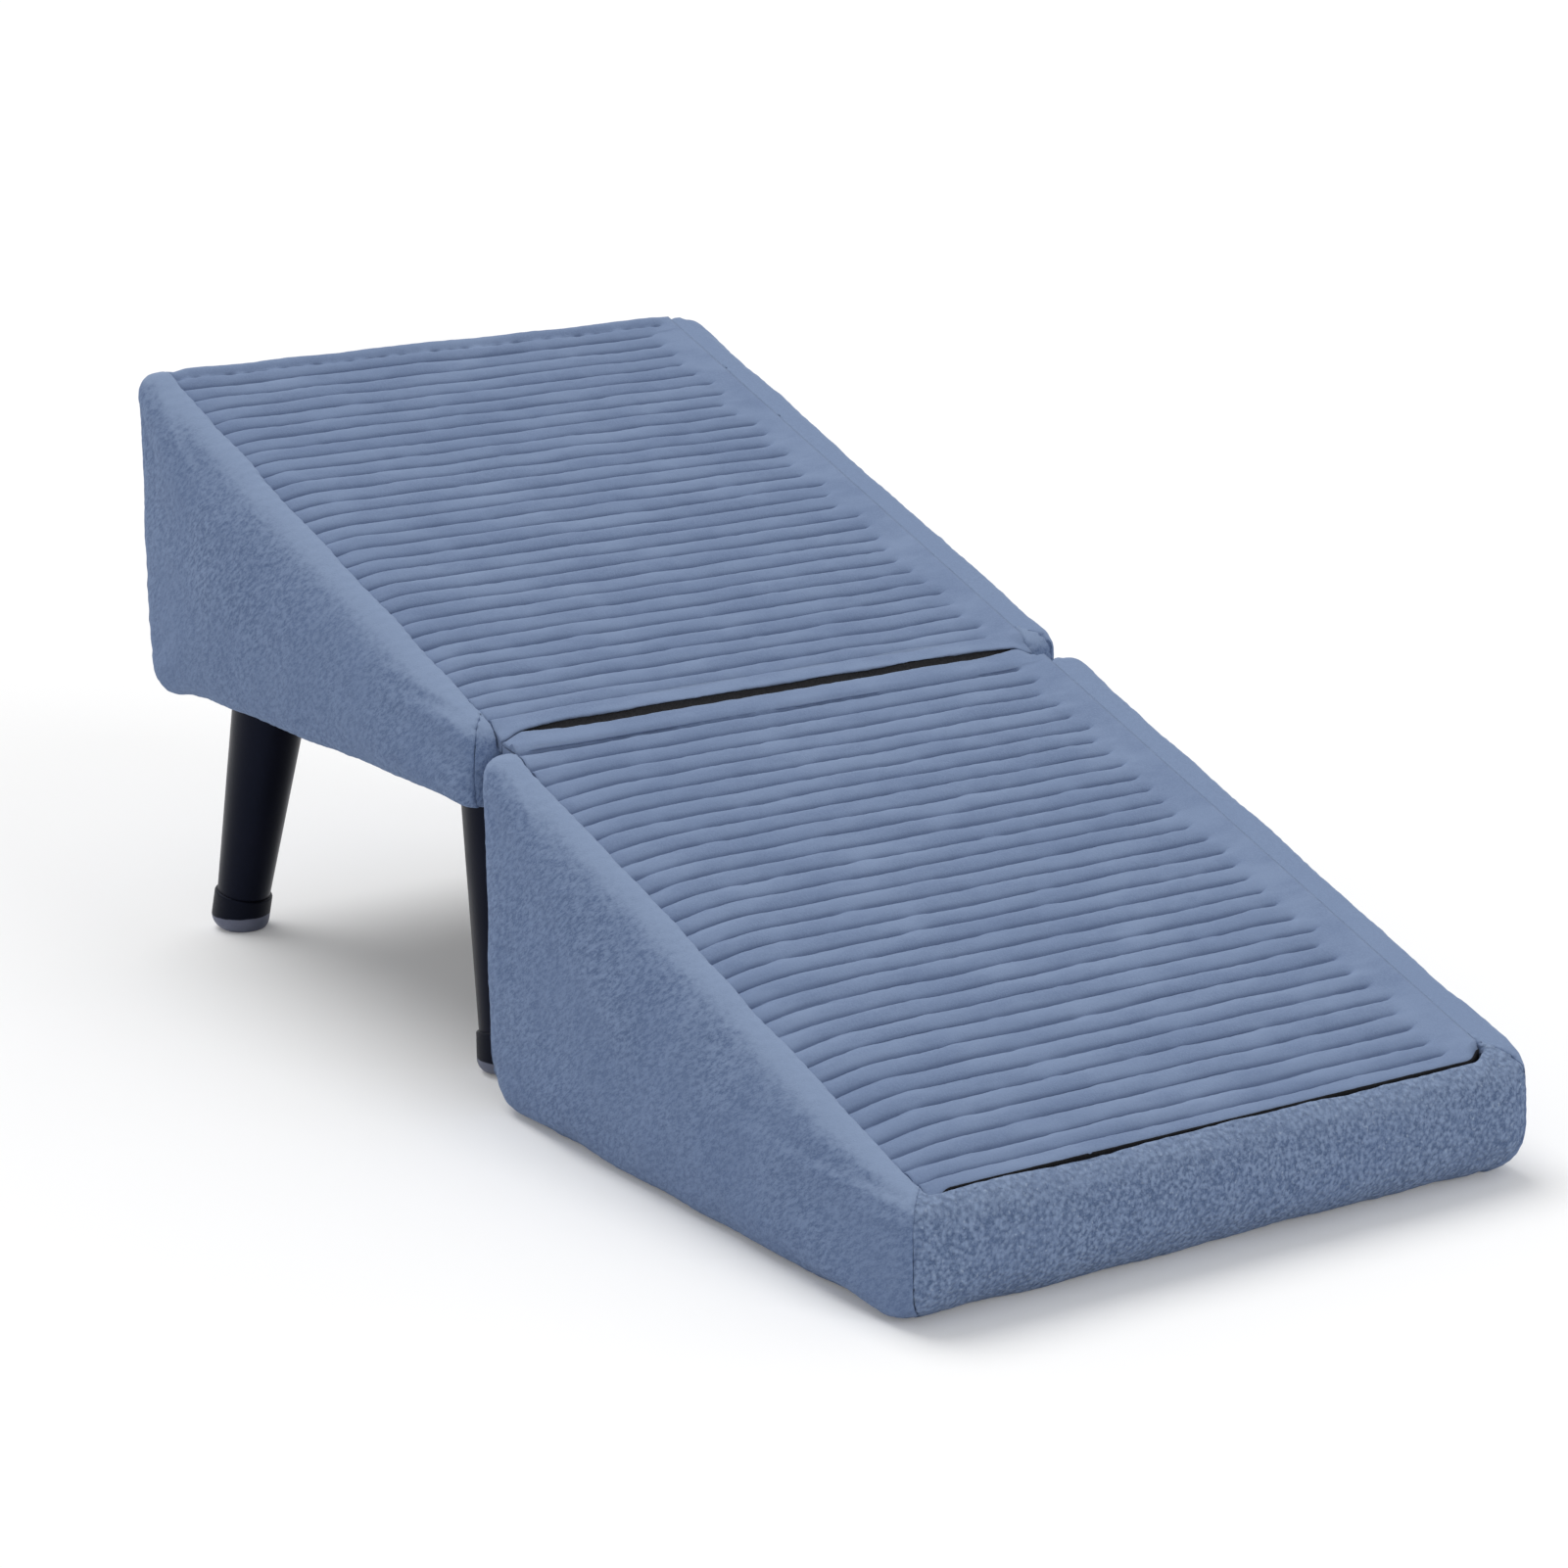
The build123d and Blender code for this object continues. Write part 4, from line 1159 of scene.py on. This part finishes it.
def grip_dots():
    """Staggered rubber dots that keep the low wedge from sliding."""
    low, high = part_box("lower_bottom_panel")
    rows = int((high.y - low.y - 2 * DOT_MARGIN) / DOT_PITCH)
    columns = int((high.x - low.x - 2 * DOT_MARGIN) / DOT_PITCH)
    cos, sin = circle(DOT_SIDES)
    dots = []
    for row in range(rows + 1):
        for column in range(columns + row % 2):
            across = (column - (columns - 1) / 2 - 0.5 * (row % 2)) * DOT_PITCH
            along = (low.y + high.y) / 2 + (row - rows / 2) * DOT_PITCH
            dots.append([
                stack(across + DOT_RADIUS * wide * cos, along + DOT_RADIUS * wide * sin, DOT_HEIGHT * rise)
                for wide, rise in DOT_PROFILE
            ])
    dress(solids("floor_grip_dots", dots), LOW, "floor_cloth", "grip")


def staple_places():
    """Middles and turns of the staples, round the edge of the cloth under the board."""
    low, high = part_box("upper_bottom_cloth")
    left, right = low.x + STAPLE_INSET, high.x - STAPLE_INSET
    front, back = low.y + STAPLE_INSET, high.y - STAPLE_INSET
    across = np.linspace(left, right, round((right - left) / STAPLE_PITCH) + 1)
    along = np.linspace(front, back, round((back - front) / STAPLE_PITCH) + 1)[1:-1]
    places = []
    for side_x, side_y in ((left, front), (right, back)):
        places += [(x, side_y, 0.0) for x in across]
        places += [(side_x, y, math.pi / 2) for y in along]
    return places


def staples():
    """Wire staples of the cloth under the board."""
    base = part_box("upper_bottom_cloth")[0].z
    random = np.random.RandomState(21)
    half = STAPLE_LENGTH / 2
    ends = [(half - STAPLE_BEND, 0), (half, STAPLE_RISE), (half, STAPLE_LEG)]
    path = [(-along, rise) for along, rise in reversed(ends)] + ends
    cos, sin = circle(WIRE_SIDES)
    wide, lift = STAPLE_RADIUS * cos, STAPLE_RADIUS * sin
    wires = []
    for x, y, turn in staple_places():
        turn += random.uniform(-STAPLE_TILT, STAPLE_TILT)
        rings = []
        for along, rise in path:
            on_leg = abs(along) == half
            u = along + (math.copysign(1, along) * lift if on_leg else 0)
            rings.append(stack(
                x + u * math.cos(turn) - wide * math.sin(turn),
                y + u * math.sin(turn) + wide * math.cos(turn),
                base + rise + (0 if on_leg else lift),
            ))
        wires.append(rings)
    dress(solids("base_cloth_staples", wires), HIGH, "plated_steel")


def cross_recesses():
    """Dark crosses on the heads of the plate screws: painted shade that stands for their cross recesses."""
    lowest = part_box("leg_plate_screws")[0].z
    screws = []
    for vertex in frame["nodes"]["leg_plate_screws"].data.vertices:
        if vertex.co.z < lowest + HEAD_LEVEL:
            screw = next((group for group in screws if (group[0] - vertex.co).length < HEAD_WIDTH), None)
            if screw is None:
                screws.append([vertex.co])
            else:
                screw.append(vertex.co)
    arm = [(RECESS_HALF, RECESS_HALF), (RECESS_ARM, RECESS_HALF), (RECESS_ARM, -RECESS_HALF)]
    crosses = []
    for screw in screws:
        middle = sum(screw, Vector()) / len(screw)
        outline = []
        for quarter in range(4):
            turn = Matrix.Rotation(quarter * math.pi / 2 + RECESS_TURN, 3, "Z")
            outline += [middle + turn @ Vector((x, y, 0)) for x, y in arm]
        x, y, _ = np.array(outline).T
        crosses.append([stack(x, y, lowest + level) for level in RECESS_LEVELS])
    dress(solids("screw_recesses", crosses, smooth=False), HIGH, "plated_steel", "recess")


# Foam cores


def foam_core(node, body):
    """Cut foam block inside a wedge, clear of the panels round it."""
    core = pad_blank(node, FOAM_DEPTH)
    core.name = node + "_block"
    points = points_of(core.data)
    points -= normals_of(core.data) * (FOAM_CLEARANCE + lumps(points, FOAM_LUMPS, seed=77))[:, None]
    set_points(core.data, points)
    core.data.shade_smooth()
    dress(core, body, "foam", node=node, fill=1.0)


# Zip


def zip_pieces():
    """Woven tape with two rows of coil."""
    low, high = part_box("lower_zip_chain")
    middle = (low.z + high.z) / 2
    half = (high.z - low.z) / 2
    x = np.linspace(low.x, high.x, ZIP_SAMPLES)
    below = [(0, -1), (ZIP_TAPE, -1), (ZIP_TAPE, -0.5)]
    outline = below + [(ZIP_RIDGE, 0)] + [(out, -up) for out, up in reversed(below)]
    tape = loft("zip_tape", [stack(x, low.y + out, middle + up * half) for out, up in outline])
    dress(tape, LOW, "zip_tape", node="lower_zip_chain")

    count = int((high.x - low.x - 2 * COIL_MARGIN) / COIL_PITCH)
    cos, sin = circle(WIRE_SIDES)
    coils = []
    for row in (-1, 1):
        for index in range(count):
            at = low.x + COIL_MARGIN + (index + 0.25 * row) * COIL_PITCH
            coils.append([
                stack(
                    at + COIL_RADIUS * wide * cos,
                    low.y + COIL_OUT + COIL_RADIUS * wide * sin,
                    middle + row * COIL_ASIDE + along * COIL_HALF,
                )
                for along, wide in COIL_PROFILE
            ])
    dress(solids("zip_coil", coils), LOW, "zip_tape", "coil")


# Stage


def camera():
    """Camera at the photograph's viewing angle."""
    data = bpy.data.cameras.new("photo_view")
    data.lens = CAMERA_LENS
    data.sensor_width = SENSOR
    holder = link("photo_view", data)
    turn = Matrix.Rotation(CAMERA_AZIMUTH, 4, "Z") @ Matrix.Rotation(math.pi / 2 - CAMERA_ELEVATION, 4, "X")
    turn = turn @ Matrix.Rotation(CAMERA_ROLL, 4, "Z")
    back_off = Matrix.Translation((0, 0, CAMERA_DISTANCE))
    holder.matrix_world = Matrix.Translation(CAMERA_TARGET) @ turn @ back_off
    bpy.context.scene.camera = holder


def sun(name, azimuth, elevation, strength, spread):
    """Soft distant lamp that shines from a direction."""
    data = bpy.data.lights.new(name, "SUN")
    data.energy = strength
    data.angle = math.radians(spread)
    link(name, data).rotation_euler = (math.radians(90 - elevation), 0, math.radians(azimuth))


def background_rays(nodes):
    """1 for rays that show the background itself: from the camera, mirrored or let through, else 0."""
    path = nodes.node("ShaderNodeLightPath").outputs
    seen = nodes.math("MAXIMUM", path["Is Camera Ray"], path["Is Glossy Ray"])
    return nodes.math("MAXIMUM", seen, path["Is Transmission Ray"])


def floor():
    """Pale floor that keeps the shadow of the ramp."""
    corners = [(x * FLOOR_SIZE, y * FLOOR_SIZE, 0) for x, y in ((-1, -1), (1, -1), (1, 1), (-1, 1))]
    plane = mesh_piece("floor", corners, [(0, 1, 2, 3)], closed=False)
    shader = Shader("pale_floor", Roughness=0.9, Specular_IOR_Level=0.0)
    speck = shader.noise(shader.coordinates(), 3)
    shader.finish(shader.mix(speck, (0.86, 0.86, 0.86, 1), (0.88, 0.88, 0.88, 1)))
    lift = shader.math("MULTIPLY", background_rays(shader), FLOOR_LIFT)
    glow = shader.node("ShaderNodeEmission", {"Strength": lift})
    both = shader.node("ShaderNodeAddShader", {0: shader.principled.outputs[0], 1: glow.outputs[0]})
    shader.feed(shader.tree.nodes["Material Output"].inputs["Surface"], both.outputs[0])
    plane.data.materials.append(shader.material)
    plane.location.z = -FLOOR_DROP


def sky():
    """Even light from all round, seen as white."""
    world = bpy.data.worlds.new("studio")
    world.use_nodes = True
    nodes = Nodes(world.node_tree)
    background = nodes.tree.nodes["Background"].inputs
    nodes.feed(background["Color"], (1, 1, 1, 1))
    nodes.feed(background["Strength"], nodes.math("MULTIPLY_ADD", background_rays(nodes), 1 - SKY, SKY))
    bpy.context.scene.world = world


def stage():
    """Floor, lamps, camera and plain colours."""
    camera()
    floor()
    sky()
    sun("key", azimuth=-165, elevation=66, strength=1.45, spread=40)
    sun("fill", azimuth=14, elevation=26, strength=0.55, spread=25)
    bpy.context.scene.view_settings.view_transform = "Standard"


# CAD nodes that keep their own shape


def four(kind):
    """Names of the nodes of a kind that each leg has one of."""
    return [f"{kind}_{end}_{side}" for end in ("front", "rear") for side in ("left", "right")]


SHOWN_NODES = {
    "leg_paint": four("leg"),
    "cap_plastic": four("foot_cap"),
    "plated_steel": four("leg_plate") + four("leg_bolt") + ["leg_plate_screws"],
    "board": ["upper_base_board"],
    "zip_metal": ["zip_slider", "zip_pull"],
}


def finish_nodes():
    """Gives the CAD nodes that stay their own materials."""
    for material, nodes in SHOWN_NODES.items():
        for node in nodes:
            mesh = frame["nodes"][node].data
            mesh.materials.clear()
            mesh.materials.append(MATERIALS[material])


stage()
fleece_panels()
tread_pieces()
crease_shade_strip()
fold_tape()
foam_core("lower_foam_core", LOW)
foam_core("upper_foam_core", HIGH)
backing = under_cloth("floor_backing", "lower_bottom_panel", LOW, "floor_cloth", DOT_HEIGHT, seed=31)
grip_dots()
lining = under_cloth("base_lining", "upper_bottom_cloth", HIGH, "base_cloth", CLOTH_LIFT, seed=41)
staples()
cross_recesses()
zip_pieces()
finish_nodes()
